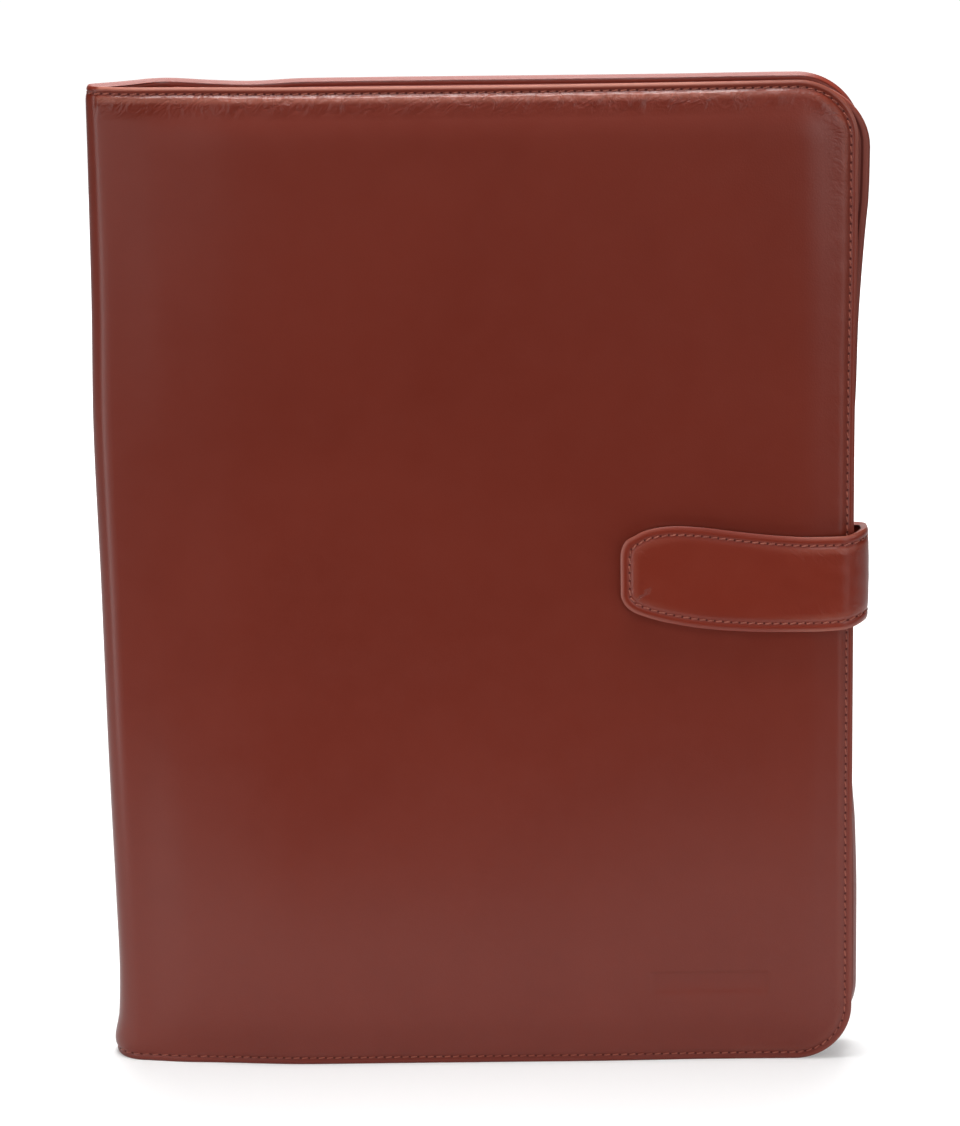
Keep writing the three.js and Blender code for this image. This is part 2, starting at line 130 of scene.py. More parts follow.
@dataclass(frozen=True)
class CaseForm:
    """Sizes and soft shape of the whole case, the same as in the part's source."""

    cover_width: float = 251
    height: float = 340
    wrap_thickness: float = 2.4
    panel_thickness: float = 3
    clear_space: float = 8.6
    seat_gap: float = 0.3
    front_radius: float = 19.5
    back_radius: float = 22
    back_overlap: float = 2.7
    fold_radius: float = 3.6
    hinge_radius: float = 9.6
    spine_reach: float = 24
    fold_bulge: float = 4.5
    fold_reach: float = 34
    spine_bulge: float = 1.2
    pad_height: float = 1
    front_bow: float = 4.6
    back_sway: float = 2.6
    back_dip: float = 0.9
    back_pull: float = 2.8
    roll_depth: float = 2.1
    roll_reach: float = 22
    fall_depth: float = 0.9
    fall_start: float = 3.5
    fall_end: float = 17
    fall_clear: tuple[float, float] = (9, 34)
    lip_spread: float = 0.7
    edge_ease: float = 40
    stitch_inset: float = 2.3
    stitch_pitch: float = 2.9
    push: Curve = Curve((
        (0, 0.81), (0.014, 1), (0.042, 0.62), (0.065, 0.49), (0.106, 0.4), (0.17, 0.45), (0.34, 0.59),
        (0.49, 0.64), (0.65, 0.78), (0.79, 0.56), (0.93, 0.44), (0.985, 0.4), (1, 0.26),
    ))
    round: Curve = Curve((
        (0, 1.9), (0.014, 1.8), (0.042, 1.6), (0.065, 1.4), (0.106, 1.2), (0.17, 1.1), (0.34, 1),
        (0.79, 1), (0.93, 0.8), (0.985, 0.6), (1, 0.5),
    ))
    swell: Curve = Curve((
        (0, 0.3), (0.014, 0.3), (0.042, 0), (0.065, -0.2), (0.106, 0.1), (0.17, 0.5), (0.34, 0.9),
        (0.49, 1), (0.65, 1), (0.79, 0.8), (0.93, 0.3), (0.985, -0.3), (1, -0.4),
    ))
    bow_across: Curve = Curve((
        (0.04, 0), (0.1, 0.46), (0.16, 0.72), (0.245, 1), (0.38, 0.82), (0.52, 0.64), (0.66, 0.46),
        (0.8, 0.12), (0.93, 0),
    ))
    bow_up: Curve = Curve((
        (0, 1), (0.12, 0.9), (0.3, 0.4), (0.42, 0), (0.6, 0), (0.72, 0.2), (0.82, 0.25), (0.93, 0.15),
        (1, 0),
    ))
    lip_up: Curve = Curve((
        (0, 0.4), (0.12, 0.3), (0.3, 0), (0.6, 0), (0.72, 0.3), (0.82, 0.9), (0.93, 1), (1, 1),
    ))
    sway_across: Curve = Curve((
        (0, 0), (0.06, 0.6), (0.12, 1), (0.2, 0.9), (0.45, 1), (0.7, 0.85), (0.86, 0.2), (1, 0),
    ))
    sway_up: Curve = Curve((
        (0, 0), (0.15, 0.1), (0.235, 0.1), (0.28, 0.05), (0.38, 0), (0.62, 0), (0.76, 0.3), (0.9, 0.8),
        (1, 1),
    ))
    dip_across: Curve = Curve((
        (0, 0), (0.06, 0.6), (0.12, 1), (0.2, 0.2), (0.45, 0),
    ))
    dip_up: Curve = Curve(((0.76, 0), (0.9, 0.3), (1, 1)))
    front_dip: float = 0.9
    front_dip_across: Curve = Curve((
        (0, 0), (0.08, 0.35), (0.28, 1), (0.51, 1), (0.8, 0.5), (0.93, 0.1), (1, 0),
    ))
    front_dip_up: Curve = Curve(((0.8, 0), (0.92, 0.4), (1, 1)))
    roll_up: Curve = Curve(((0, 1.25), (0.15, 1.05), (0.45, 0.5), (0.7, 0.6), (0.9, 0.85), (1, 0.9)))
    fall_up: Curve = Curve(((0, 1.2), (0.2, 1.1), (0.35, 0.8), (0.6, 0.7), (0.8, 1), (0.93, 1.5), (1, 1.5)))
    pull_up: Curve = Curve((
        (0.15, 0), (0.235, 0.25), (0.28, 0.65), (0.38, 1), (0.62, 1), (0.76, 0.7), (0.9, 0.1), (1, 0),
    ))
    shift: tuple[float, float] = (0, 0)

    @property
    def front_y(self) -> float:
        """Outside of the front cover, before its padding."""
        return -(self.wrap_thickness + self.seat_gap + self.panel_thickness) - self.clear_space / 2

    @property
    def fold_x(self) -> float:
        """Outside of the fold between the front cover and the spine."""
        return -self.cover_width / 2

    @property
    def lip_x(self) -> float:
        """Free edge of the front cover."""
        return self.cover_width / 2

    @property
    def back_edge_x(self) -> float:
        """Free edge of the back cover."""
        return self.lip_x + self.back_overlap

    def edge_distance(self, x: np.ndarray, z: np.ndarray, edge_x: float, radius: float) -> np.ndarray:
        """Distance from places on a cover to its sewn edge, round the corners too.

        Args:
            x: Places across the cover.
            z: Heights.
            edge_x: Where the cover's free edge is.
            radius: Radius of its corners.

        Returns:
            The distances.
        """
        from_end = np.minimum(z, self.height - z)
        from_edge = edge_x - x
        straight = np.minimum(from_end, from_edge)
        round_corner = radius - np.hypot(radius - from_edge, radius - from_end)
        return np.where((from_end >= radius) | (from_edge >= radius), straight, round_corner)

    def fold_push(self, x: np.ndarray, z: np.ndarray) -> np.ndarray:
        """Sideways move of the fold, which fades out along the cover and the spine."""
        away = np.clip((x - self.fold_x) / self.fold_reach, 0, 1)
        return -self.fold_bulge * self.push(z / self.height) * (1 - away * away) ** 2

    def front_move(self, x: np.ndarray, z: np.ndarray) -> np.ndarray:
        """Soft shape of the front cover, which its inner panel follows.

        Args:
            x: Places across the cover.
            z: Heights.

        Returns:
            The move of each place, one row of three numbers each.
        """
        up = z / self.height
        bow = self.bow_across((x - self.fold_x) / self.cover_width) * self.bow_up(up)
        near_lip = np.clip(1 - (self.lip_x - x) / self.edge_ease, 0, None)
        lip = self.lip_spread * self.lip_up(up) * near_lip ** 2
        inside = self.edge_distance(x, z, self.lip_x, self.front_radius)
        fall = self.fall_depth * self.fall_up(up) * (1 - soft_step(inside, self.fall_start, self.fall_end))
        fall = fall * soft_step(x - self.fold_x, *self.fall_clear)
        depth = self.rolled(x, z) + fall - self.front_bow * bow
        dip = self.front_dip * self.front_dip_across((x - self.fold_x) / self.cover_width)
        return np.stack([self.fold_push(x, z) + lip, depth, -dip * self.front_dip_up(up)], 1)

    def rolled(self, x: np.ndarray, z: np.ndarray) -> np.ndarray:
        """How far the front sinks back as it rolls over into the fold."""
        share = np.clip(1 - (x - self.fold_x) / self.roll_reach, 0, 1)
        return self.roll_depth * self.roll_up(z / self.height) * share ** 2

    def back_move(self, x: np.ndarray, z: np.ndarray) -> np.ndarray:
        """Soft shape of the back cover, which its inner panel follows.

        Args:
            x: Places across the cover.
            z: Heights.

        Returns:
            The move of each place, one row of three numbers each.
        """
        up = z / self.height
        hinge_x = self.fold_x + self.spine_reach
        across = (x - hinge_x) / (self.back_edge_x - hinge_x)
        near_edge = np.clip(1 - (self.back_edge_x - x) / self.edge_ease, 0, None)
        # The back's free edge is drawn in by the strap; this move is shape only.
        pull = self.back_pull * self.pull_up(up) * near_edge ** 2
        sway = self.back_sway * self.sway_across(across) * self.sway_up(up)
        dip = self.back_dip * self.dip_across(across) * self.dip_up(up)
        return np.stack([self.fold_push(x, z) - pull, -sway, -dip], 1)

    def placed(self, points: np.ndarray) -> np.ndarray:
        """Points moved from the case's own axes to the row frame."""
        return points + np.array([self.shift[0], self.shift[1], 0])


def corner_place(side: np.ndarray, end: np.ndarray, steps: np.ndarray, radius: float) -> np.ndarray:
    """Places of grid lines in a rounded corner, so that each ring of the grid runs parallel to the edge.

    Args:
        side: Line numbers counted from the side edge.
        end: Line numbers counted from the end edge.
        steps: Distance of each ring from the edge.
        radius: Radius of the corner.

    Returns:
        Distances from the side edge and from the end edge, one row of two numbers each.
    """
    last = len(steps) - 1
    ring = np.minimum(side, end)
    inset = steps[ring]
    bend = radius * (1 - inset / steps[last])
    arc = bend * math.pi / 4
    straight = steps[last] - inset - bend
    travelled = np.abs(side - end) / np.maximum(last - ring, 1) * (arc + straight)
    angle = math.pi / 4 + np.minimum(travelled, arc) / np.maximum(bend, 1e-6)
    far = inset + bend * (1 - np.cos(angle)) + np.maximum(travelled - arc, 0)
    near = inset + bend * (1 - np.sin(angle))
    return np.stack([np.where(side >= end, far, near), np.where(side >= end, near, far)], 1)


def lines_between(low: float, high: float, pitch: float, fixed: tuple[float, ...] = ()) -> list[float]:
    """Lines between two places at an even pitch, with fixed lines in place of the nearest ones.

    Args:
        low: First place, which gets no line.
        high: Last place, which gets no line.
        pitch: Wanted distance between lines.
        fixed: Lines that have to be there.

    Returns:
        The lines in order.
    """
    even = np.linspace(low, high, max(2, round((high - low) / pitch)) + 1)[1:-1]
    clear = 0.4 * pitch
    kept = [float(x) for x in even if all(abs(x - place) > clear for place in fixed)]
    return sorted([*kept, *fixed])


@dataclass(frozen=True)
class FlatPattern:
    """A flat piece of leather with rounded corners, as the lines of a grid that is denser by its edges."""

    steps: tuple[float, ...]
    run_inner: list[float]
    height_inner: list[float]
    run_ends: tuple[float, float]
    height_ends: tuple[float, float]
    start_radius: float
    end_radius: float

    def lines(self, inner: list[float], ends: tuple[float, float]) -> np.ndarray:
        """All lines along one side of the pattern."""
        start = [ends[0] + step for step in self.steps]
        finish = [ends[1] - step for step in reversed(self.steps)]
        return np.array([*start, *inner, *finish])

    def sheet(self, name: str) -> bpy.types.Object:
        """Adds the flat grid, one face between each two lines, selected and active."""
        bpy.ops.object.select_all(action="DESELECT")
        columns = len(self.lines(self.run_inner, self.run_ends)) - 1
        rows = len(self.lines(self.height_inner, self.height_ends)) - 1
        bpy.ops.mesh.primitive_grid_add(x_subdivisions=columns, y_subdivisions=rows, size=1)
        sheet = bpy.context.object
        sheet.name = name
        sheet.data.name = name
        return sheet

    def places(self, sheet: bpy.types.Object) -> tuple[np.ndarray, np.ndarray]:
        """Where each vertex of the grid lies on the flat pattern.

        Args:
            sheet: The grid that sheet() made.

        Returns:
            The run along the pattern and the height, for each vertex.
        """
        runs = self.lines(self.run_inner, self.run_ends)
        heights = self.lines(self.height_inner, self.height_ends)
        flat = read_points(sheet)
        column = np.rint((flat[:, 0] + 0.5) * (len(runs) - 1)).astype(int)
        row = np.rint((flat[:, 1] + 0.5) * (len(heights) - 1)).astype(int)
        run, height = runs[column], heights[row]
        steps = np.array(self.steps)
        for at_finish, radius in ((False, self.start_radius), (True, self.end_radius)):
            side = len(runs) - 1 - column if at_finish else column
            for at_top in (False, True):
                end = len(heights) - 1 - row if at_top else row
                corner = (side < len(steps)) & (end < len(steps))
                place = corner_place(side[corner], end[corner], steps, radius)
                run[corner] = runs[-1] - place[:, 0] if at_finish else runs[0] + place[:, 0]
                height[corner] = heights[-1] - place[:, 1] if at_top else heights[0] + place[:, 1]
        return run, height

    def outline(self, sheet: bpy.types.Object) -> np.ndarray:
        """Numbers of the grid's outline vertices, in order round the pattern."""
        flat = read_points(sheet)
        rim = np.flatnonzero(np.abs(flat).max(1) > RIM)
        across, up = flat[rim, 0], flat[rim, 1]
        side = np.select([up < -RIM, across > RIM, up > RIM], [0, 1, 2], 3)
        along = np.select([side == 0, side == 1, side == 2], [across, up, -across], -up)
        return rim[np.lexsort((along, side))]


def read_points(piece: bpy.types.Object) -> np.ndarray:
    """Vertex places of a mesh, one row each."""
    points = np.zeros(len(piece.data.vertices) * 3, np.float32)
    piece.data.vertices.foreach_get("co", points)
    return points.reshape(-1, 3).astype(float)


def write_points(piece: bpy.types.Object, points: np.ndarray) -> None:
    """Moves the vertices of a mesh to places given in millimetres in the row frame."""
    piece.data.vertices.foreach_set("co", (points * MM).astype(np.float32).ravel())
    piece.data.update()


def write_attribute(piece: bpy.types.Object, name: str, values: np.ndarray) -> None:
    """Gives each vertex a number that the material reads."""
    attribute = piece.data.attributes.new(name, "FLOAT", "POINT")
    attribute.data.foreach_set("value", values.astype(np.float32))


def outward(surface: Surface, run: np.ndarray, height: np.ndarray, side: int) -> np.ndarray:
    """Directions straight out of a surface.

    Args:
        surface: Gives the place in space of a place on the flat pattern.
        run: Places along the pattern.
        height: Heights on the pattern.
        side: 1 or -1, for the way that the pattern's face looks.

    Returns:
        One direction of length 1 for each place.
    """
    reach = 0.5
    along = surface(run + reach, height) - surface(run - reach, height)
    up = surface(run, height + reach) - surface(run, height - reach)
    normal = np.cross(along, up) * side
    return normal / np.linalg.norm(normal, axis=1)[:, None]


def finish_sheet(piece: bpy.types.Object, thickness: float, round_edge: float, flip: bool) -> None:
    """Gives a folded sheet its thickness and rounds its cut edges.

    Args:
        piece: The sheet, whose vertices lie on the side that shows.
        thickness: Thickness in millimetres.
        round_edge: How far the rounding of the cut edges reaches, in millimetres.
        flip: Whether the faces have to be turned round first.
    """
    bpy.ops.object.select_all(action="DESELECT")
    piece.select_set(True)
    bpy.context.view_layer.objects.active = piece
    bpy.ops.object.mode_set(mode="EDIT")
    bpy.ops.mesh.select_all(action="SELECT")
    if flip:
        bpy.ops.mesh.flip_normals()
    bpy.ops.object.mode_set(mode="OBJECT")
    wall = piece.modifiers.new("wall", "SOLIDIFY")
    wall.thickness = thickness * MM
    wall.offset = -1
    bpy.ops.object.modifier_apply(modifier=wall.name)
    rounding = piece.modifiers.new("rounding", "BEVEL")
    rounding.width = round_edge * MM
    rounding.segments = 3
    rounding.limit_method = "ANGLE"
    rounding.angle_limit = math.radians(55)
    bpy.ops.object.modifier_apply(modifier=rounding.name)
    bpy.ops.object.shade_smooth()


def nearest_on(line: np.ndarray, points: np.ndarray) -> tuple[np.ndarray, np.ndarray]:
    """Finds the nearest place on a line for each point of a flat pattern.

    Args:
        line: Points of the line.
        points: Places on the pattern.

    Returns:
        How many steps along the line that place lies, with the share of the last step, and how far away
        it is.
    """
    starts, steps = line[:-1], np.diff(line, axis=0)
    squared = np.maximum((steps ** 2).sum(1), 1e-12)
    along, gaps = np.zeros((2, len(points)))
    for low in range(0, len(points), CHUNK):
        away = points[low:low + CHUNK, None] - starts
        share = np.clip((away * steps).sum(2) / squared, 0, 1)
        gap = ((away - share[..., None] * steps) ** 2).sum(2)
        nearest = gap.argmin(1)
        picked = np.arange(len(nearest)), nearest
        along[low:low + CHUNK] = nearest + share[picked]
        gaps[low:low + CHUNK] = np.sqrt(gap[picked])
    return along, gaps


def needle_holes(line: np.ndarray, pitch: float) -> np.ndarray:
    """Spaces needle holes evenly round a closed line.

    Args:
        line: Points of the line on the flat pattern.
        pitch: Wanted distance between holes.

    Returns:
        The holes in order, with the first one again at the end.
    """
    line = np.vstack([line, line[:1]])
    lengths = np.concatenate([[0], np.cumsum(np.linalg.norm(np.diff(line, axis=0), axis=1))])
    places = np.linspace(0, lengths[-1], round(lengths[-1] / pitch) + 1)
    return np.stack([np.interp(places, lengths, line[:, axis]) for axis in (0, 1)], 1)


def rounded_line(inset: float, run: float, height: float, start: float, finish: float) -> np.ndarray:
    """A line inside the edge of a flat pattern with rounded corners.

    Args:
        inset: Distance of the line from the edge.
        run: Length of the pattern.
        height: Height of the pattern.
        start: Corner radius at the pattern's start.
        finish: Corner radius at its other end.

    Returns:
        Points of the line, in order round the pattern.
    """
    corners = (
        (start, start, start, math.pi), (run - finish, finish, finish, 1.5 * math.pi),
        (run - finish, height - finish, finish, 0), (start, height - start, start, math.pi / 2),
    )
    points = []
    for centre_run, centre_height, radius, first in corners:
        for turn in np.linspace(0, math.pi / 2, 13):
            reach = radius - inset
            points.append((centre_run + reach * math.cos(first + turn),
                           centre_height + reach * math.sin(first + turn)))
    return np.array(points)


@dataclass(frozen=True)
class ThreadStitch:
    """One lockstitch of tonal thread, slightly arched and slanted across the seam."""

    length: float = 2.35
    thickness: float = 0.52
    arch: float = 0.2
    lift: float = 0.1
    slant: float = math.radians(13)
    sides: int = 7
    end_share: float = 0.15
    end_taper: float = 0.45
    bend_share: float = 0.2

    def model(self) -> bpy.types.Object:
        """Models the stitch once, along X and rising along Z.

        Returns:
            The stitch, in metres round the origin.
        """
        bpy.ops.object.select_all(action="DESELECT")
        radius = self.thickness / 2 * MM
        end = self.length * self.end_share * MM
        body = self.length * MM - 2 * end
        bpy.ops.mesh.primitive_cylinder_add(
            vertices=self.sides, radius=radius, depth=body, rotation=(0, math.pi / 2, 0))
        bpy.ops.object.transform_apply(location=False, rotation=True, scale=False)
        stitch = bpy.context.object
        bpy.ops.object.mode_set(mode="EDIT")
        for sign in (-1, 1):
            bpy.ops.mesh.select_all(action="SELECT")
            bpy.ops.mesh.bisect(plane_co=(sign * body * self.bend_share, 0, 0), plane_no=(1, 0, 0))
        bpy.ops.object.mode_set(mode="OBJECT")
        for sign in (-1, 1):
            for part in (stitch.data.vertices, stitch.data.edges, stitch.data.polygons):
                for item in part:
                    item.select = False
            for face in stitch.data.polygons:
                face.select = face.center.x * sign > body * RIM
            bpy.ops.object.mode_set(mode="EDIT")
            bpy.ops.mesh.select_mode(type="FACE")
            bpy.ops.mesh.extrude_region_move(TRANSFORM_OT_translate={"value": (sign * end, 0, 0)})
            bpy.ops.transform.resize(value=(1, self.end_taper, self.end_taper))
            bpy.ops.object.mode_set(mode="OBJECT")
        points = read_points(stitch)
        half = self.length / 2 * MM
        points[:, 2] -= self.arch * MM * (points[:, 0] / half) ** 2
        write_points(stitch, points / MM)
        bpy.ops.object.shade_smooth()
        return stitch

    def sew(self, name: str, holes: np.ndarray, surface: Surface, side: int) -> bpy.types.Object:
        """Copies the stitch into every space between two needle holes.

        Args:
            name: Name of the finished row of stitches.
            holes: The needle holes on the flat pattern.
            surface: Gives the place in space of a place on the flat pattern.
            side: 1 or -1, for the way that the pattern's face looks.

        Returns:
            All stitches as one piece.
        """
        stitch = self.model()
        ends = surface(holes[:, 0], holes[:, 1])
        middle = (holes[1:] + holes[:-1]) / 2
        centres = surface(middle[:, 0], middle[:, 1])
        normals = outward(surface, middle[:, 0], middle[:, 1], side)
        copies = []
        for k in range(len(middle)):
            z_axis = Vector(normals[k])
            along = Vector(ends[k + 1] - ends[k])
            y_axis = z_axis.cross(along).normalized()
            turn = Matrix.Rotation(self.slant, 3, z_axis)
            x_axis = turn @ y_axis.cross(z_axis)
            y_axis = turn @ y_axis
            axes = Matrix((x_axis, y_axis, z_axis)).transposed().to_4x4()
            copy = bpy.data.objects.new(f"{name}_{k}", stitch.data.copy())
            copy.data.transform(Matrix.Translation((Vector(centres[k]) + z_axis * self.lift) * MM) @ axes)
            bpy.context.scene.collection.objects.link(copy)
            copies.append(copy)
        bpy.ops.object.select_all(action="DESELECT")
        for copy in copies:
            copy.select_set(True)
        bpy.context.view_layer.objects.active = copies[0]
        bpy.ops.object.join()
        row = bpy.context.object
        row.name = name
        row.data.name = name
        bpy.data.objects.remove(stitch)
        return row


def srgb(red: int, green: int, blue: int) -> Colour:
    """A colour as the shader wants it, from its values on a screen."""
    shares = (value / 255 for value in (red, green, blue))
    linear = (x / 12.92 if x <= 0.04045 else ((x + 0.055) / 1.055) ** 2.4 for x in shares)
    return (*linear, 1.0)


class NodeSheet:
    """Places and joins the nodes of one material or group."""

    def __init__(self, tree: bpy.types.NodeTree) -> None:
        """Starts with an empty tree."""
        self.tree = tree
        tree.nodes.clear()

    def add(self, kind: str, **settings: object) -> bpy.types.Node:
        """Adds a node.

        Args:
            kind: The node's type, as Blender names it.
            settings: Properties of the node.

        Returns:
            The node.
        """
        node = self.tree.nodes.new(kind)
        for name, value in settings.items():
            setattr(node, name, value)
        return node

    def put(self, socket: bpy.types.NodeSocket, value: object) -> None:
        """Joins an input to an output socket, or sets it to a value."""
        if isinstance(value, bpy.types.NodeSocket):
            self.tree.links.new(value, socket)
        else:
            socket.default_value = value

    def feed(self, node: bpy.types.Node, *values: object, **inputs: object) -> bpy.types.Node:
        """Fills a node's inputs, in their order or by name."""
        for socket, value in zip(node.inputs, values):
            self.put(socket, value)
        for name, value in inputs.items():
            self.put(node.inputs[name.replace("_", " ")], value)
        return node

    def math(self, operation: str, first: object, second: object = 0.0, clamp: bool = False) -> object:
        """A Math node's result."""
        node = self.add("ShaderNodeMath", operation=operation, use_clamp=clamp)
        return self.feed(node, first, second).outputs[0]

    def times(self, first: object, second: object) -> object:
        """The product of two values."""
        return self.math("MULTIPLY", first, second)

    def vector(self, operation: str, *values: object) -> bpy.types.Node:
        """A Vector Math node."""
        return self.feed(self.add("ShaderNodeVectorMath", operation=operation), *values)

    def split(self, vector: object) -> object:
        """The three parts of a vector."""
        return self.feed(self.add("ShaderNodeSeparateXYZ"), vector).outputs

    def ramp(self, value: object, low: float, high: float, start: float = 0, end: float = 1) -> object:
        """A value carried smoothly from one range to another."""
        node = self.add("ShaderNodeMapRange", interpolation_type="SMOOTHSTEP")
        return self.feed(node, value, low, high, start, end).outputs[0]

    def mix(self, share: object, first: object, second: object) -> object:
        """A mix of two colours."""
        node = self.add("ShaderNodeMix", data_type="RGBA")
        for place, value in ((0, share), (6, first), (7, second)):
            self.put(node.inputs[place], value)
        return node.outputs[2]

    def noise(self, place: object, **inputs: object) -> object:
        """A noise texture's outputs."""
        return self.feed(self.add("ShaderNodeTexNoise"), Vector=place, **inputs).outputs

    def group(self, tree: bpy.types.NodeTree, *values: object) -> object:
        """A shared group's outputs."""
        return self.feed(self.add("ShaderNodeGroup", node_tree=tree), *values).outputs

    def bump(self, height: object, strength: float, distance: float, **inputs: object) -> object:
        """A bent normal from a height, for a distance in metres."""
        node = self.feed(self.add("ShaderNodeBump"), Height=height, Strength=strength, Distance=distance)
        return self.feed(node, **inputs).outputs[0]

    def shader(self, **inputs: object) -> None:
        """Adds the main shader and joins it to the material's output."""
        shader = self.feed(self.add("ShaderNodeBsdfPrincipled"), **inputs)
        self.feed(self.add("ShaderNodeOutputMaterial"), Surface=shader.outputs[0])


def new_material(name: str) -> tuple[bpy.types.Material, NodeSheet]:
    """Starts a material with an empty node sheet."""
    made = bpy.data.materials.new(name)
    made.use_nodes = True
    return made, NodeSheet(made.node_tree)


def new_group(name: str, numbers: tuple[str, ...], outputs: tuple[str, ...]) -> tuple[NodeSheet, object]:
    """Starts a shader node group.

    Args:
        name: Name of the group.
        numbers: Names of the inputs that follow the first one, Vector.
        outputs: Names of the outputs, all numbers.

    Returns:
        The group's node sheet and its inputs as sockets to read.
    """
    tree = bpy.data.node_groups.new(name, "ShaderNodeTree")
    tree.interface.new_socket("Vector", in_out="INPUT", socket_type="NodeSocketVector")
    for way, labels in (("INPUT", numbers), ("OUTPUT", outputs)):
        for label in labels:
            tree.interface.new_socket(label, in_out=way, socket_type="NodeSocketFloat")
    sheet = NodeSheet(tree)
    return sheet, sheet.add("NodeGroupInput").outputs


def grain_group() -> bpy.types.NodeTree:
    """Leather grain: soft cells with fine pores, as a height, and the creases between them as a mask."""
    sheet, source = new_group("leather_grain", (), ("Height", "Creases"))
    warp = sheet.noise(source[0], Scale=420.0, Detail=2.0)
    shift = sheet.vector("MULTIPLY_ADD", warp["Color"], (0.0007,) * 3, source[0])
    cells = sheet.add("ShaderNodeTexVoronoi", feature="DISTANCE_TO_EDGE")
    sheet.feed(cells, Vector=shift.outputs[0], Scale=950.0, Randomness=0.9)
    pillow = sheet.ramp(cells.outputs["Distance"], 0.0, 0.28)
    pores = sheet.noise(source[0], Scale=2600.0, Detail=2.0)
    height = sheet.math("ADD", sheet.times(pillow, 0.7), sheet.times(pores[0], 0.45))
    sheet.feed(sheet.add("NodeGroupOutput"), height, sheet.math("SUBTRACT", 1.0, pillow))
    return sheet.tree


def cloud_group() -> bpy.types.NodeTree:
    """Clouds in the dye: broad soft patches and smaller mottling, as a share from 0 to 1."""
    sheet, source = new_group("dye_clouds", (), ("Cloud", "Mottle"))
    broad = sheet.noise(source[0], Scale=14.0, Detail=3.0, Roughness=0.55, Distortion=0.6)
    small = sheet.noise(source[0], Scale=95.0, Detail=4.0, Roughness=0.6)
    sheet.feed(sheet.add("NodeGroupOutput"), sheet.ramp(broad[0], 0.32, 0.68),
               sheet.ramp(small[0], 0.15, 0.85))
    return sheet.tree


def seam_group() -> bpy.types.NodeTree:
    """Marks of a seam, from the run in stitches and the distance from the edge in millimetres.

    Returns:
        The group. It gives the needle holes, the burnished cut edge, the channel that the thread lies
        in, the ridge beside it and the puckers that the thread gathers.
    """
    sheet, source = new_group("sewn_edge", ("Run", "Edge", "Inset"),
                              ("Holes", "Burnish", "Channel", "Ridge", "Puckers"))
    place, run, edge, inset = source[:4]
    wave = sheet.math("SUBTRACT", sheet.math("FRACT", sheet.math("ADD", run, 0.5)), 0.5)
    along = sheet.times(wave, CaseForm.stitch_pitch)
    across = sheet.math("SUBTRACT", edge, inset)
    squares = sheet.math("ADD", sheet.math("POWER", sheet.math("ABSOLUTE", along), 2.0),
                         sheet.math("POWER", sheet.math("ABSOLUTE", across), 2.0))
    normal = sheet.split(sheet.add("ShaderNodeNewGeometry").outputs["Normal"])
    facing = sheet.times(sheet.times(sheet.split(place)[1], 1 / MM), normal[1])
    outside = sheet.ramp(facing, -2.0, -0.5)
    # Needle holes on the outside faces, which the leather darkens as painted shade and sinks a little.
    holes = sheet.times(sheet.ramp(sheet.math("SQRT", squares), 0.15, 0.6, 1, 0), outside)
    channel = sheet.ramp(sheet.math("ABSOLUTE", across), 0.2, 1.0, 1, 0)
    ridge = sheet.times(sheet.ramp(across, 0.4, 1.3), sheet.ramp(across, 1.7, 3.8, 1, 0))
    reach = sheet.times(sheet.ramp(across, 0.3, 1.4), sheet.ramp(across, 2.5, 9.0, 1, 0))
    slant = sheet.math("ADD", sheet.times(run, 0.75), sheet.times(across, 0.12))
    folds = sheet.feed(sheet.add("ShaderNodeCombineXYZ"), slant, sheet.times(across, 0.22))
    waves = sheet.noise(folds.outputs[0], Scale=1.0, Detail=2.5, Roughness=0.6, Distortion=0.7)
    sheet.feed(sheet.add("NodeGroupOutput"), holes, sheet.ramp(edge, 0.2, 1.6, 1, 0), channel, ridge,
               sheet.times(waves[0], reach))
    return sheet.tree


def crease_group() -> bpy.types.NodeTree:
    """Fine handling wrinkles: thin dark lines that gather in patches, as a share from 0 to 1."""
    sheet, source = new_group("handling_creases", (), ("Lines",))
    stretched = sheet.vector("MULTIPLY", source[0], (55.0, 55.0, 480.0)).outputs[0]
    streaks = sheet.noise(stretched, Scale=1.0, Detail=2.0, Distortion=0.8)
    from_middle = sheet.math("ABSOLUTE", sheet.math("SUBTRACT", streaks[0], 0.5))
    patches = sheet.noise(source[0], Scale=26.0, Detail=1.0)
    lines = sheet.times(sheet.ramp(from_middle, 0.0, 0.05, 1, 0), sheet.ramp(patches[0], 0.6, 0.75))
    sheet.feed(sheet.add("NodeGroupOutput"), lines)
    return sheet.tree


class Effects:
    """The node groups that the finishes share."""

    def __init__(self) -> None:
        """Builds each group once."""
        self.grain = grain_group()
        self.clouds = cloud_group()
        self.sewn_edge = seam_group()
        self.creases = crease_group()


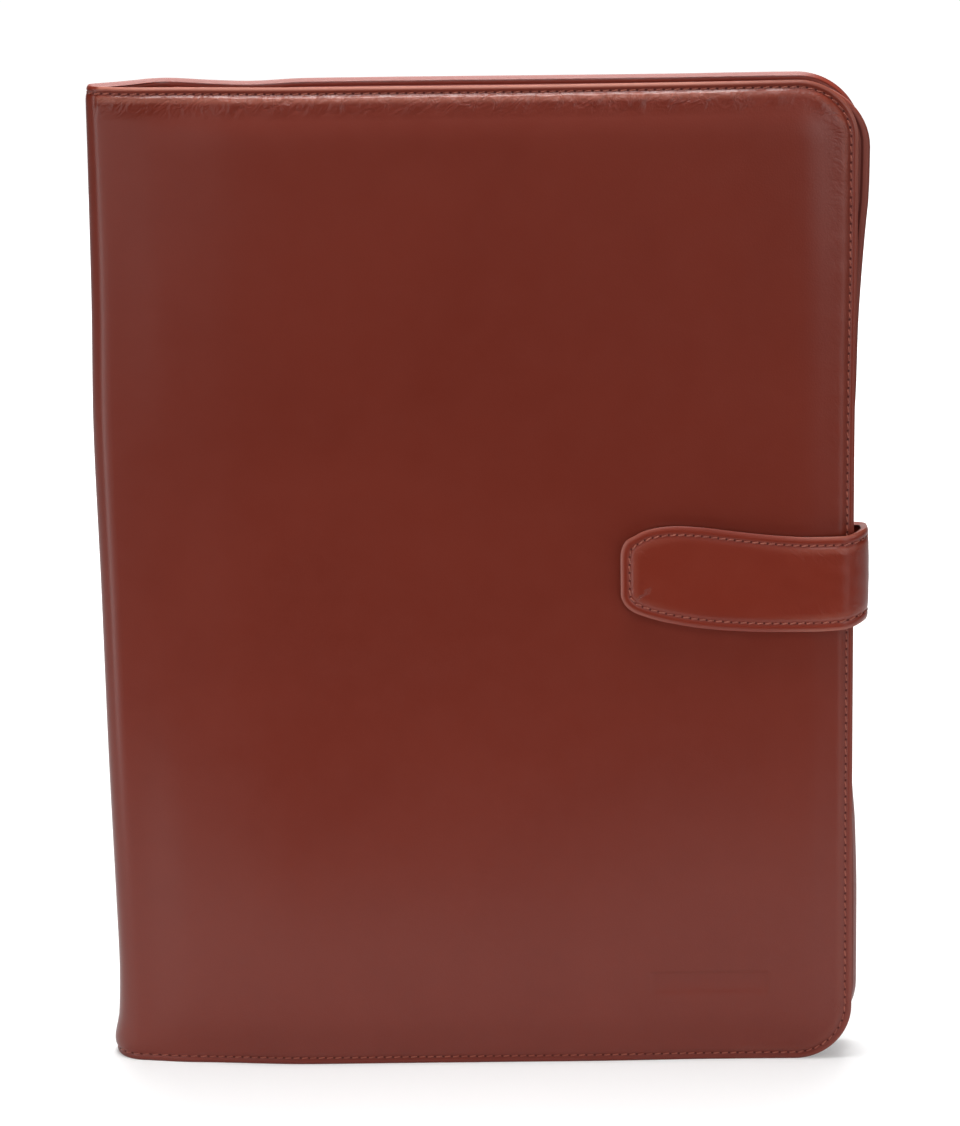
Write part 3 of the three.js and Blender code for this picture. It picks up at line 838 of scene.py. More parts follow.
@dataclass(frozen=True)
class LeatherFinish:
    """Aniline-dyed leather with fine grain, clouded dye and burnished edges."""

    name: str
    colour: Colour
    deep: Colour
    bloom: Colour
    burnish: Colour
    roughness: float = 0.29
    specular: float = 0.44
    relief: float = 0.12
    crease_depth: float = 0.6
    crease_reach: float = 10.0
    inset: float = 2.3
    # Colour of the painted highlight on the stretched rim and on the ridge beside the seam.
    pulled: Colour = srgb(188, 118, 100)
    # Colour of the painted shade in the needle holes.
    hole_shade: Colour = srgb(78, 24, 18)

    def colours(self, sheet: NodeSheet, masks: dict[str, object]) -> object:
        """Lays the colours over each other, with a painted highlight on the stretched rim and on the ridge
        beside the seam, and painted shade in the needle holes.

        Args:
            sheet: The material's node sheet.
            masks: Where each effect shows, by name.

        Returns:
            The colour's socket.
        """
        tone = sheet.mix(masks["clouds"], self.colour, self.deep)
        layers = (
            # The ridge and rim layers lay a painted highlight, the hole layer lays painted shade in the
            # needle holes, and the channel layer makes the stitch line a little darker.
            ("mottle", 0.3, self.bloom), ("grain", 0.1, self.deep), ("burnish", 0.45, self.burnish),
            ("channel", 0.25, self.deep), ("pulled_ridge", 0.4, self.pulled),
            ("pulled_rim", 0.9, self.pulled), ("holes", 0.85, self.hole_shade),
        )
        for name, share, colour in layers:
            tone = sheet.mix(sheet.times(masks[name], share), tone, colour)
        return tone

    def material(self, effects: Effects) -> bpy.types.Material:
        """Makes the material.

        Args:
            effects: The shared node groups.

        Returns:
            The material.
        """
        made, sheet = new_material(self.name)
        place = sheet.add("ShaderNodeTexCoord").outputs["Object"]
        run, edge, pull = (sheet.add("ShaderNodeAttribute", attribute_name=name).outputs["Fac"]
                           for name in ("seam_run", "edge_mm", "pull"))
        grain, clouds = sheet.group(effects.grain, place), sheet.group(effects.clouds, place)
        creases = sheet.group(effects.creases, place)
        holes, burnish, channel, ridge, puckers = sheet.group(
            effects.sewn_edge, place, run, edge, self.inset)
        tone = self.colours(sheet, {
            "clouds": clouds[0], "mottle": clouds[1], "grain": grain[1], "burnish": burnish,
            # The stretch share places the painted highlight on the ridge beside the seam and on the rim.
            "channel": channel, "pulled_ridge": sheet.times(ridge, pull),
            "pulled_rim": sheet.times(burnish, pull), "holes": holes,
        })
        rough = sheet.math("ADD", sheet.times(clouds[1], 0.03), self.roughness - 0.015)
        rough = sheet.math("ADD", rough, sheet.times(grain[1], 0.04))
        rough = sheet.math("ADD", rough, sheet.times(holes, 0.6), clamp=True)
        worn = sheet.ramp(edge, self.crease_reach * 0.5, self.crease_reach, 1, 0)
        lines = sheet.times(sheet.times(creases[0], worn), -self.crease_depth)
        height = sheet.math("ADD", grain[0], sheet.math("ADD", sheet.times(holes, -2.5), lines))
        gathered = sheet.bump(sheet.times(puckers, pull), 1.0, 0.00075)
        normal = sheet.bump(height, self.relief, 0.00009, Normal=gathered)
        sheet.shader(Base_Color=tone, Roughness=rough, Normal=normal, Specular_IOR_Level=self.specular)
        return made


@dataclass(frozen=True)
class ThreadFinish:
    """Twisted tonal sewing thread."""

    name: str
    colour: Colour
    shade: Colour

    def material(self) -> bpy.types.Material:
        """Makes the material: a fine twist across the thread, and a little uneven dye.

        Returns:
            The material.
        """
        made, sheet = new_material(self.name)
        place = sheet.add("ShaderNodeTexCoord").outputs["Object"]
        twist = sheet.add("ShaderNodeTexWave", bands_direction="DIAGONAL")
        sheet.feed(twist, Vector=place, Scale=1500.0, Distortion=1.5)
        dye = sheet.noise(place, Scale=260.0, Detail=2.0)
        tone = sheet.mix(sheet.ramp(dye[0], 0.35, 0.65), self.colour, self.shade)
        sheet.shader(Base_Color=tone, Roughness=0.55, Normal=sheet.bump(twist.outputs[1], 0.5, 0.00006),
                     Sheen_Weight=0.2)
        return made


@dataclass(frozen=True)
class BrassFinish:
    """Antiqued brass of the press stud."""

    name: str
    colour: Colour
    tarnish: Colour

    def material(self) -> bpy.types.Material:
        """Makes the material: brushed metal with tarnish in patches.

        Returns:
            The material.
        """
        made, sheet = new_material(self.name)
        place = sheet.add("ShaderNodeTexCoord").outputs["Object"]
        patches = sheet.noise(place, Scale=420.0, Detail=4.0)
        share = sheet.ramp(patches[0], 0.4, 0.7)
        rough = sheet.math("ADD", sheet.times(share, 0.25), 0.28)
        sheet.shader(Base_Color=sheet.mix(share, self.colour, self.tarnish), Roughness=rough,
                     Metallic=0.95, Normal=sheet.bump(patches[0], 0.2, 0.00005))
        return made


def take_finish(piece: bpy.types.Object, material: bpy.types.Material) -> None:
    """Gives a piece one material all over."""
    piece.data.materials.clear()
    piece.data.materials.append(material)


@dataclass
class CoverWrap:
    """The outer leather: front cover, spine and back cover in one piece, sewn all round."""

    form: CaseForm
    steps: tuple[float, ...] = (
        0, 0.8, 1.2, 1.6, 1.95, 2.3, 2.7, 3.2, 3.8, 4.6, 5.6, 7, 8.8, 11, 14, 17.5, 22,
    )
    front_pitch: float = 2.5
    spine_pitch: float = 1.15
    back_pitch: float = 3.4
    row_pitch: float = 3
    round_edge: float = 0.75
    panel_rect: tuple[float, float, float, float] = (56.7, 96.9, 25.3, 32.8)
    panel_depth: float = 0.3
    panel_sides: tuple[float, float] = (-0.6, 0.7)
    panel_foot: tuple[float, float] = (-1.2, 1.8)
    panel_head: tuple[float, float] = (-0.4, 0.7)
    pad_reach: float = 40
    shoulder_sway: float = 0.3
    pucker_depth: tuple[float, float] = (0.05, 0.15)
    pucker_place: float = 5.4
    pucker_width: float = 2.2
    # Where the painted highlight lies: a band along the top, less by the lip's corner, a little along the
    # front's free edge.
    top_band: tuple[float, float] = (300, 335)
    dent_depth: float = 0.16
    dent_edges: tuple[float, float] = (8, 40)
    dent_fold: tuple[float, float] = (20, 60)
    pull_band: tuple[float, float] = (285, 325)
    pull_past: float = 5
    corner_pull: float = 0.25
    corner_band: tuple[float, float] = (20, 60)
    side_pull: float = 0.1
    side_reach: float = 40
    edge_roll: Curve = Curve((
        (0, -0.35), (1, 0.1), (1.6, 0.02), (2.3, -0.3), (3, -0.04), (4, 0),
    ))
    padding: Curve = Curve(((2.3, 0), (3, 0.18), (4.2, 0.66), (5.4, 0.8), (8.5, 0.88), (16, 1)))

    @property
    def fold_start_x(self) -> float:
        """Where the front cover starts to bend into the spine, at its widest."""
        return self.form.fold_x + self.form.fold_radius * 1.9 + self.form.wrap_thickness

    @property
    def front_run(self) -> float:
        """Length of the flat front on the pattern."""
        return self.form.lip_x - self.fold_start_x

    @property
    def spine_run(self) -> float:
        """Length of the fold, the spine and the hinge on the pattern, at the middle of its height."""
        return float(self.spine_lengths(np.array([self.form.height / 2])).sum())

    @property
    def whole_run(self) -> float:
        """Length of the whole pattern."""
        form = self.form
        return self.front_run + self.spine_run + form.back_edge_x - form.fold_x - form.spine_reach

    def spine_plan(self, z: np.ndarray) -> tuple[np.ndarray, ...]:
        """The two arcs of the spine seen from above.

        Args:
            z: Heights.

        Returns:
            Fold centre x and y, fold radius, hinge centre x and y, hinge radius and the slope between.
        """
        form = self.form
        fold_r = form.fold_radius * form.round(z / form.height) + form.wrap_thickness
        hinge_r = form.hinge_radius + form.wrap_thickness + 0 * z
        fold_x, fold_y = form.fold_x + fold_r, form.front_y + fold_r
        hinge_x, hinge_y = form.fold_x + form.spine_reach + 0 * z, -form.front_y - hinge_r
        run, rise = hinge_x - fold_x, hinge_y - fold_y
        slope = np.arctan2(rise, run) + np.arcsin((hinge_r - fold_r) / np.hypot(run, rise))
        return fold_x, fold_y, fold_r, hinge_x, hinge_y, hinge_r, slope

    def spine_lengths(self, z: np.ndarray) -> np.ndarray:
        """Lengths of the straight start, the fold, the spine and the hinge, one column each."""
        fold_x, fold_y, fold_r, hinge_x, hinge_y, hinge_r, slope = self.spine_plan(z)
        tangent = np.sqrt((hinge_x - fold_x) ** 2 + (hinge_y - fold_y) ** 2 - (hinge_r - fold_r) ** 2)
        return np.stack([self.fold_start_x - fold_x, fold_r * (math.pi - slope), tangent,
                         hinge_r * slope], 1)

    def spine_place(self, share: np.ndarray, z: np.ndarray) -> tuple[np.ndarray, ...]:
        """Outside of the wrap from the front's end, round the spine, to the back's start.

        Args:
            share: How far along that way, from 0 to 1.
            z: Heights.

        Returns:
            The places x and y, and the outward direction x and y.
        """
        form = self.form
        fold_x, fold_y, fold_r, hinge_x, hinge_y, hinge_r, slope = self.spine_plan(z)
        lengths = self.spine_lengths(z)
        ends = np.cumsum(lengths, axis=1)
        gone = share * ends[:, 3]
        on_start, on_fold, on_spine = gone <= ends[:, 0], gone <= ends[:, 1], gone <= ends[:, 2]
        fold_head = math.pi - np.clip(gone - ends[:, 0], 0, lengths[:, 1]) / fold_r
        hinge_head = slope - np.clip(gone - ends[:, 2], 0, None) / hinge_r
        head = np.where(on_fold, fold_head, np.where(on_spine, slope, hinge_head))
        along = np.clip(gone - ends[:, 1], 0, lengths[:, 2])
        swell = form.spine_bulge * form.swell(z / form.height) * np.sin(math.pi * along / lengths[:, 2])
        radius = np.where(on_fold, fold_r, np.where(on_spine, fold_r + swell, hinge_r))
        centre_x = np.where(on_spine, fold_x + along * np.cos(slope), hinge_x)
        centre_y = np.where(on_spine, fold_y + along * np.sin(slope), hinge_y)
        x = centre_x - radius * np.sin(head) + np.where(on_start, self.fold_start_x - fold_x - gone, 0)
        return x, centre_y + radius * np.cos(head), -np.sin(head), np.cos(head)

    def relief(self, x: np.ndarray, run: np.ndarray, z: np.ndarray, on_back: np.ndarray,
               on_spine: np.ndarray) -> np.ndarray:
        """Rise of the leather over its edge roll, seam channel and padding.

        Args:
            x: Places across the case.
            run: Places along the pattern.
            z: Heights.
            on_back: Which places are on the back cover.
            on_spine: Which places are on the fold, spine or hinge.

        Returns:
            The rise at each place.
        """
        form = self.form
        front = form.edge_distance(x, z, form.lip_x, form.front_radius)
        back = form.edge_distance(x, z, form.back_edge_x, form.back_radius)
        distance = np.where(on_back, back, front)
        start = np.where(on_back, form.fold_x + form.spine_reach, self.fold_start_x)
        fade = np.where(on_spine, 0, soft_step(x - start, 0, self.pad_reach))
        along_end = gathers(run, (0.53, 0.11, 0.83), 1.3, z * 0.05 + 1)
        up_edge = gathers(z, (0.49, 0.13, 0.77), 1.1, 2)
        at_end = np.minimum(z, form.height - z) < form.edge_distance(x, z, form.back_edge_x, 1) + 0.5
        wave = np.where(at_end, along_end, 0.6 * up_edge)
        shoulder = distance + self.shoulder_sway * wave * soft_step(distance, 2.5, 4)
        low, top = self.pucker_depth
        depth = low + (top - low) * soft_step(z, *self.top_band)
        ripple = depth * wave * hill(distance, self.pucker_place, self.pucker_width)
        return self.edge_roll(distance) + (form.pad_height * self.padding(shoulder) + ripple) * fade

    def stamp(self, x: np.ndarray, z: np.ndarray) -> np.ndarray:
        """Depth of the blank pressed rectangle near the front's lower corner."""
        left, right, low, high = self.panel_rect
        across = soft_step(np.minimum(x - left, right - x), *self.panel_sides)
        up = soft_step(z - low, *self.panel_foot) * soft_step(high - z, *self.panel_head)
        return self.panel_depth * across * up

    def surface(self, run: np.ndarray, z: np.ndarray) -> np.ndarray:
        """Outside of the wrap in space.

        Args:
            run: Places along the flat pattern, from the front's free edge.
            z: Heights on the pattern.

        Returns:
            Places in the row frame in millimetres, one row each.
        """
        form = self.form
        on_front, on_back = run <= self.front_run, run >= self.front_run + self.spine_run
        share = np.clip((run - self.front_run) / self.spine_run, 0, 1)
        x, y, out_x, out_y = self.spine_place(share, z)
        x = np.where(on_front, form.lip_x - run, x)
        x = np.where(on_back, form.back_edge_x - (self.whole_run - run), x)
        y = np.where(on_front, form.front_y, np.where(on_back, -form.front_y, y))
        out_x = np.where(on_front | on_back, 0, out_x)
        out_y = np.where(on_front, -1, np.where(on_back, 1, out_y))
        rise = self.relief(x, run, z, on_back, ~on_front & ~on_back)
        calm = soft_step(form.edge_distance(x, z, form.lip_x, form.front_radius), *self.dent_edges)
        calm = calm * soft_step(x - form.fold_x, *self.dent_fold)
        dents = self.dent_depth * np.sin(x * 0.045 + z * 0.021) * np.sin(z * 0.038 - x * 0.013 + 0.7)
        rise = rise + np.where(on_front, dents * calm - self.stamp(x, z), 0)
        still = np.stack([form.fold_push(x, z), form.rolled(x, z), 0 * x], 1)
        move = np.where(on_front[:, None], form.front_move(x, z), still)
        move = np.where(on_back[:, None], form.back_move(x, z), move)
        return form.placed(np.stack([x + out_x * rise, y + out_y * rise, z], 1) + move)

    def pattern(self) -> FlatPattern:
        """The flat pattern, with its lines closer together round the spine and the pressed rectangle."""
        form = self.form
        left, right, low, high = self.panel_rect
        stamp_runs = [form.lip_x - edge + side for edge in (left, right) for side in (-0.6, 0.1, 0.7)]
        stamp_rows = [low - 1, low + 0.3, low + 1.6, high - 1, high - 0.4, high + 0.1, high + 0.6]
        spine_end = self.front_run + self.spine_run
        front = lines_between(self.steps[-1], self.front_run, self.front_pitch, tuple(stamp_runs))
        spine = lines_between(self.front_run, spine_end, self.spine_pitch)
        back = lines_between(spine_end, self.whole_run - self.steps[-1], self.back_pitch)
        rows = lines_between(self.steps[-1], form.height - self.steps[-1], self.row_pitch, tuple(stamp_rows))
        return FlatPattern(self.steps, [*front, self.front_run, *spine, spine_end, *back], rows,
                           (0, self.whole_run), (0, form.height), form.front_radius, form.back_radius)

    def edge_of(self, run: np.ndarray, z: np.ndarray) -> np.ndarray:
        """Distance from the sewn edge on the flat pattern."""
        form = self.form
        front = form.edge_distance(-run, z, 0, form.front_radius)
        back = form.edge_distance(run, z, self.whole_run, form.back_radius)
        return np.minimum(front, back)

    def pull(self, run: np.ndarray, z: np.ndarray) -> np.ndarray:
        """Where the leather is stretched over its rim: the share of the painted highlight on the rim and on
        the ridge beside the seam, which also sets how strongly the puckers gather. Most along the front's
        top, less by the lip's corner, and a little all along the front's free edge.

        Args:
            run: Places along the flat pattern.
            z: Heights on the pattern.

        Returns:
            The share at each place.
        """
        corner = self.corner_pull + (1 - self.corner_pull) * soft_step(run, *self.corner_band)
        top = soft_step(z, *self.pull_band) * corner * (run < self.front_run + self.pull_past)
        return top + self.side_pull * (run < self.side_reach)

    def holes(self) -> np.ndarray:
        """The needle holes all round the wrap."""
        form = self.form
        return needle_holes(rounded_line(form.stitch_inset, self.whole_run, form.height,
                                         form.front_radius, form.back_radius), form.stitch_pitch)

    def build(self) -> bpy.types.Object:
        """Cuts the pattern, folds it round the spine and gives it its thickness.

        Returns:
            The wrap.
        """
        pattern = self.pattern()
        wrap = pattern.sheet("cover_wrap")
        run, z = pattern.places(wrap)
        write_attribute(wrap, "seam_run", nearest_on(self.holes(), np.stack([run, z], 1))[0])
        write_attribute(wrap, "edge_mm", self.edge_of(run, z))
        # The stretch share also places the painted highlight on the rim and the ridge.
        write_attribute(wrap, "pull", self.pull(run, z))
        write_points(wrap, self.surface(run, z))
        finish_sheet(wrap, self.form.wrap_thickness, self.round_edge, flip=True)
        return wrap

    def stitches(self, thread: ThreadStitch) -> bpy.types.Object:
        """Sews the thread into the needle holes, all round the wrap."""
        return thread.sew("cover_stitches", self.holes(), self.surface, -1)

    def dress(self, wrap: bpy.types.Object, leather: bpy.types.Material) -> None:
        """Gives the wrap its leather and its place in the table."""
        take_finish(wrap, leather)
        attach(wrap, "root")
        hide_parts("outer_wrap")


class Side(Enum):
    """Which cover a panel lines."""

    FRONT = "front_panel"
    BACK = "back_panel"


@dataclass
class InnerPanel:
    """A stiff leather panel that lines one cover."""

    form: CaseForm
    side: Side
    inset: float = 1
    radius: float = 22
    inner_radius: float = 1.5
    overhang: float = 5
    hinge_gap: float = 12
    floor_gap: float = 0.6
    top_gap: tuple[float, float] = (0.9, 2.4)
    round_edge: float = 1.1
    pitch: float = 6
    steps: tuple[float, ...] = (0, 1.4, 2.6, 4, 5.6, 8, 11.5, 16, 22)
    edge_out: Curve = Curve((
        (0.56, 0), (0.64, 0.12), (0.7, 0.3), (0.76, 0.36), (0.8, 0.48), (0.85, 0.72), (0.89, 0.95),
        (0.94, 1), (1, 1),
    ))

    @property
    def ends(self) -> tuple[float, float]:
        """Where the panel starts by the spine and where its free edge is."""
        form = self.form
        if self.side is Side.FRONT:
            return form.fold_x + self.hinge_gap, form.lip_x - self.inset
        return form.fold_x + form.spine_reach + self.inset, form.back_edge_x - self.inset

    def surface(self, x: np.ndarray, z: np.ndarray) -> np.ndarray:
        """The side of the panel that lies against its cover, in the row frame in millimetres."""
        form = self.form
        seat = form.wrap_thickness + form.seat_gap
        if self.side is Side.BACK:
            base = np.stack([x, 0 * x - form.front_y - seat, z], 1)
            return form.placed(base + form.back_move(x, z))
        near_edge = np.clip(1 - (self.ends[1] - x) / form.edge_ease, 0, None)
        out = self.overhang * self.edge_out(z / form.height) * near_edge
        base = np.stack([x + out, 0 * x + form.front_y + seat, z], 1)
        return form.placed(base + form.front_move(x, z))

    def build(self) -> bpy.types.Object:
        """Cuts the panel, lays it against its cover and gives it its thickness.

        Returns:
            The panel.
        """
        low, high = self.ends
        heights = (self.floor_gap, self.form.height - self.top_gap[self.side is Side.BACK])
        reach = self.steps[-1]
        pattern = FlatPattern(
            self.steps, lines_between(low + reach, high - reach, self.pitch),
            lines_between(heights[0] + reach, heights[1] - reach, self.pitch), (low, high), heights,
            self.inner_radius, self.radius)
        panel = pattern.sheet(f"{self.side.value}_leather")
        x, z = pattern.places(panel)
        edge = np.minimum(self.form.edge_distance(x, z, high, self.radius), x - low)
        write_attribute(panel, "edge_mm", edge)
        write_points(panel, self.surface(x, z))
        finish_sheet(panel, self.form.panel_thickness, self.round_edge, flip=self.side is Side.BACK)
        return panel

    def dress(self, panel: bpy.types.Object, leather: bpy.types.Material) -> None:
        """Gives the panel its leather and its place in the table."""
        take_finish(panel, leather)
        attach(panel, "root")
        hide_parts(self.side.value)


@dataclass
class ClosureStrap:
    """The strap that is sewn to the back cover and closes round the free edges to the front."""

    form: CaseForm
    width: float = 34
    thickness: float = 2.2
    stand_off: float = 1.4
    reach: float = 78
    middle: float = 172.5
    slack: float = 2.9
    front_bend: float = 7.5
    back_bend: float = 5
    root: float = 62
    tip_radius: float = 10
    root_radius: float = 3
    pitch: float = 1.5
    steps: tuple[float, ...] = (0, 0.95, 1.5, 2, 2.5, 3, 3.5, 4.1, 4.9, 6, 7.8, 10)
    stitch_inset: float = 3
    stitch_pitch: float = 2.75
    stitch_slack: float = 0.15
    round_edge: float = 0.7
    ripple_depth: float = 0.07
    ripple_width: float = 12
    rim_pull: float = 0.45
    top: Curve = Curve((
        (0, 1.15), (1.1, 1.12), (4.7, 1.02), (9.1, 1.05), (13.5, 1.1), (18.5, 1.12), (27, 1.09),
        (37.4, 1.01), (51.3, 0.92), (63, 0.88), (73.3, 0.89), (82.5, 0.97), (91.8, 0.9), (104, 0.78),
        (166, 0.78),
    ))
    foot: Curve = Curve((
        (0, 0.635), (0.6, 0.66), (2.3, 0.69), (7, 0.718), (14, 0.825), (21.5, 0.915), (27, 0.965),
        (37.4, 1.02), (51.3, 1.05), (63, 1.05), (73.3, 1.02), (82.5, 0.9), (91.8, 0.96), (104, 1.1),
        (166, 1.1),
    ))
    relief: Curve = Curve((
        (0, -0.4), (1.3, 0), (2.1, 0), (3, -0.28), (4, -0.02), (5.4, 0.14), (8, 0.2), (14, 0.3),
    ))
    outline: np.ndarray = field(default_factory=lambda: np.zeros((0, 2)))

    @property
    def lengths(self) -> tuple[float, float, float, float, float]:
        """Lengths of the front leg, front bend, side, back bend and root."""
        form = self.form
        side_x = form.back_edge_x - form.back_pull + self.slack
        deep = 2 * (form.pad_height - form.front_y) + self.stand_off + form.seat_gap
        quarter = math.pi / 2
        return (side_x - self.front_bend - form.lip_x + self.reach, quarter * self.front_bend,
                deep - self.front_bend - self.back_bend, quarter * self.back_bend, self.root)

    def plan(self, run: np.ndarray) -> tuple[np.ndarray, ...]:
        """Inside of the strap seen from above.

        Args:
            run: Places along the strap from its tip.

        Returns:
            The places x and y, and the outward direction x and y.
        """
        form = self.form
        leg, bend, side, back, _ = self.lengths
        inner_front = form.front_y - form.pad_height - self.stand_off
        side_x = form.back_edge_x - form.back_pull + self.slack
        inner_back = -form.front_y + form.pad_height + form.seat_gap
        turn_front = np.clip((run - leg) / self.front_bend, 0, math.pi / 2)
        turn_back = np.clip((run - leg - bend - side) / self.back_bend, 0, math.pi / 2)
        straight = np.clip(run - leg - bend, 0, side)
        rooted = np.clip(run - leg - bend - side - back, 0, None)
        on_front = run < leg + bend
        radius = np.where(on_front, self.front_bend, self.back_bend)
        angle = turn_front + turn_back - math.pi / 2
        centre_y = np.where(on_front, inner_front + self.front_bend, inner_back - self.back_bend)
        x = side_x - radius * (1 - np.cos(angle)) - rooted
        x = np.where(run < leg, form.lip_x - self.reach + run, x)
        y = centre_y + radius * np.sin(angle)
        on_side = (turn_front >= math.pi / 2) & (turn_back <= 0)
        y = np.where(on_side, inner_front + self.front_bend + straight, y)
        return x, y, np.cos(angle), np.sin(angle)

    def edge_of(self, points: np.ndarray) -> np.ndarray:
        """Distance from the strap's outline, for places on its flat pattern."""
        return nearest_on(np.vstack([self.outline, self.outline[:1]]), points)[1]

    def surface(self, run: np.ndarray, height: np.ndarray) -> np.ndarray:
        """Outside of the strap in space.

        Args:
            run: Places along the strap's pattern from its tip.
            height: Places across it, from its middle.

        Returns:
            Places in the row frame in millimetres, one row each.
        """
        x, y, out_x, out_y = self.plan(run)
        distance = self.edge_of(np.stack([run, height], 1))
        near_bend = hill(run, self.lengths[0], self.ripple_width) * soft_step(distance, 4, 8)
        ripple = self.ripple_depth * near_bend * np.sin(height * 0.9 + run * 0.25)
        out = self.thickness + self.relief(distance) + ripple
        points = np.stack([x + out_x * out, y + out_y * out, self.middle + height], 1)
        return self.form.placed(points)

    def holes(self) -> np.ndarray:
        """The needle holes all round the strap, inside its outline.

        Returns:
            The holes on the flat pattern.
        """
        along = np.roll(self.outline, -1, axis=0) - np.roll(self.outline, 1, axis=0)
        along /= np.linalg.norm(along, axis=1)[:, None]
        inner = self.outline + self.stitch_inset * np.stack([-along[:, 1], along[:, 0]], 1)
        clear = self.edge_of(inner) > self.stitch_inset - self.stitch_slack
        return needle_holes(inner[clear], self.stitch_pitch)

    def build(self) -> bpy.types.Object:
        """Cuts the strap, bends it round the free edges and gives it its thickness.

        Returns:
            The strap.
        """
        whole, half = sum(self.lengths), self.width / 2
        reach = self.steps[-1]
        pattern = FlatPattern(
            self.steps, lines_between(reach, whole - reach, self.pitch),
            lines_between(reach - half, half - reach, self.pitch), (0, whole), (-half, half),
            self.tip_radius, self.root_radius)
        strap = pattern.sheet("closure_strap_leather")
        run, height = pattern.places(strap)
        height = height * np.where(height > 0, self.top(run), self.foot(run))
        places = np.stack([run, height], 1)
        self.outline = places[pattern.outline(strap)]
        write_attribute(strap, "seam_run", nearest_on(self.holes(), places)[0])
        write_attribute(strap, "edge_mm", self.edge_of(places))
        # Painted highlight on the strap's rim by its bend and its tip, where the leather is stretched; the
        # same share sets how strongly its puckers gather.
        bend = hill(run, self.lengths[0] - 4, 14) + 0.7 * hill(run, 0, 16)
        write_attribute(strap, "pull", self.rim_pull * bend)
        write_points(strap, self.surface(run, height))
        finish_sheet(strap, self.thickness, self.round_edge, flip=False)
        return strap

    def stitches(self, thread: ThreadStitch) -> bpy.types.Object:
        """Sews the thread into the needle holes, all round the strap."""
        return thread.sew("strap_stitches", self.holes(), self.surface, 1)

    def dress(self, strap: bpy.types.Object, leather: bpy.types.Material) -> None:
        """Gives the strap its leather and its place in the table."""
        take_finish(strap, leather)
        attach(strap, "root")
        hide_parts("closure_strap")


@dataclass(frozen=True)
class Softbox:
    """A soft rectangular studio light."""

    name: str
    place: tuple[float, float, float]
    aim: tuple[float, float, float]
    size: tuple[float, float]
    brightness: float

    def light(self) -> None:
        """Puts the light up."""
        lamp = bpy.data.lights.new(self.name, "AREA")
        lamp.shape = "RECTANGLE"
        lamp.size, lamp.size_y = self.size
        lamp.energy = self.brightness * math.pi * self.size[0] * self.size[1]
        stand = bpy.data.objects.new(self.name, lamp)
        stand.location = self.place
        stand.rotation_euler = (Vector(self.aim) - Vector(self.place)).to_track_quat("-Z", "Y").to_euler()
        stand.visible_camera = False
        bpy.context.scene.collection.objects.link(stand)


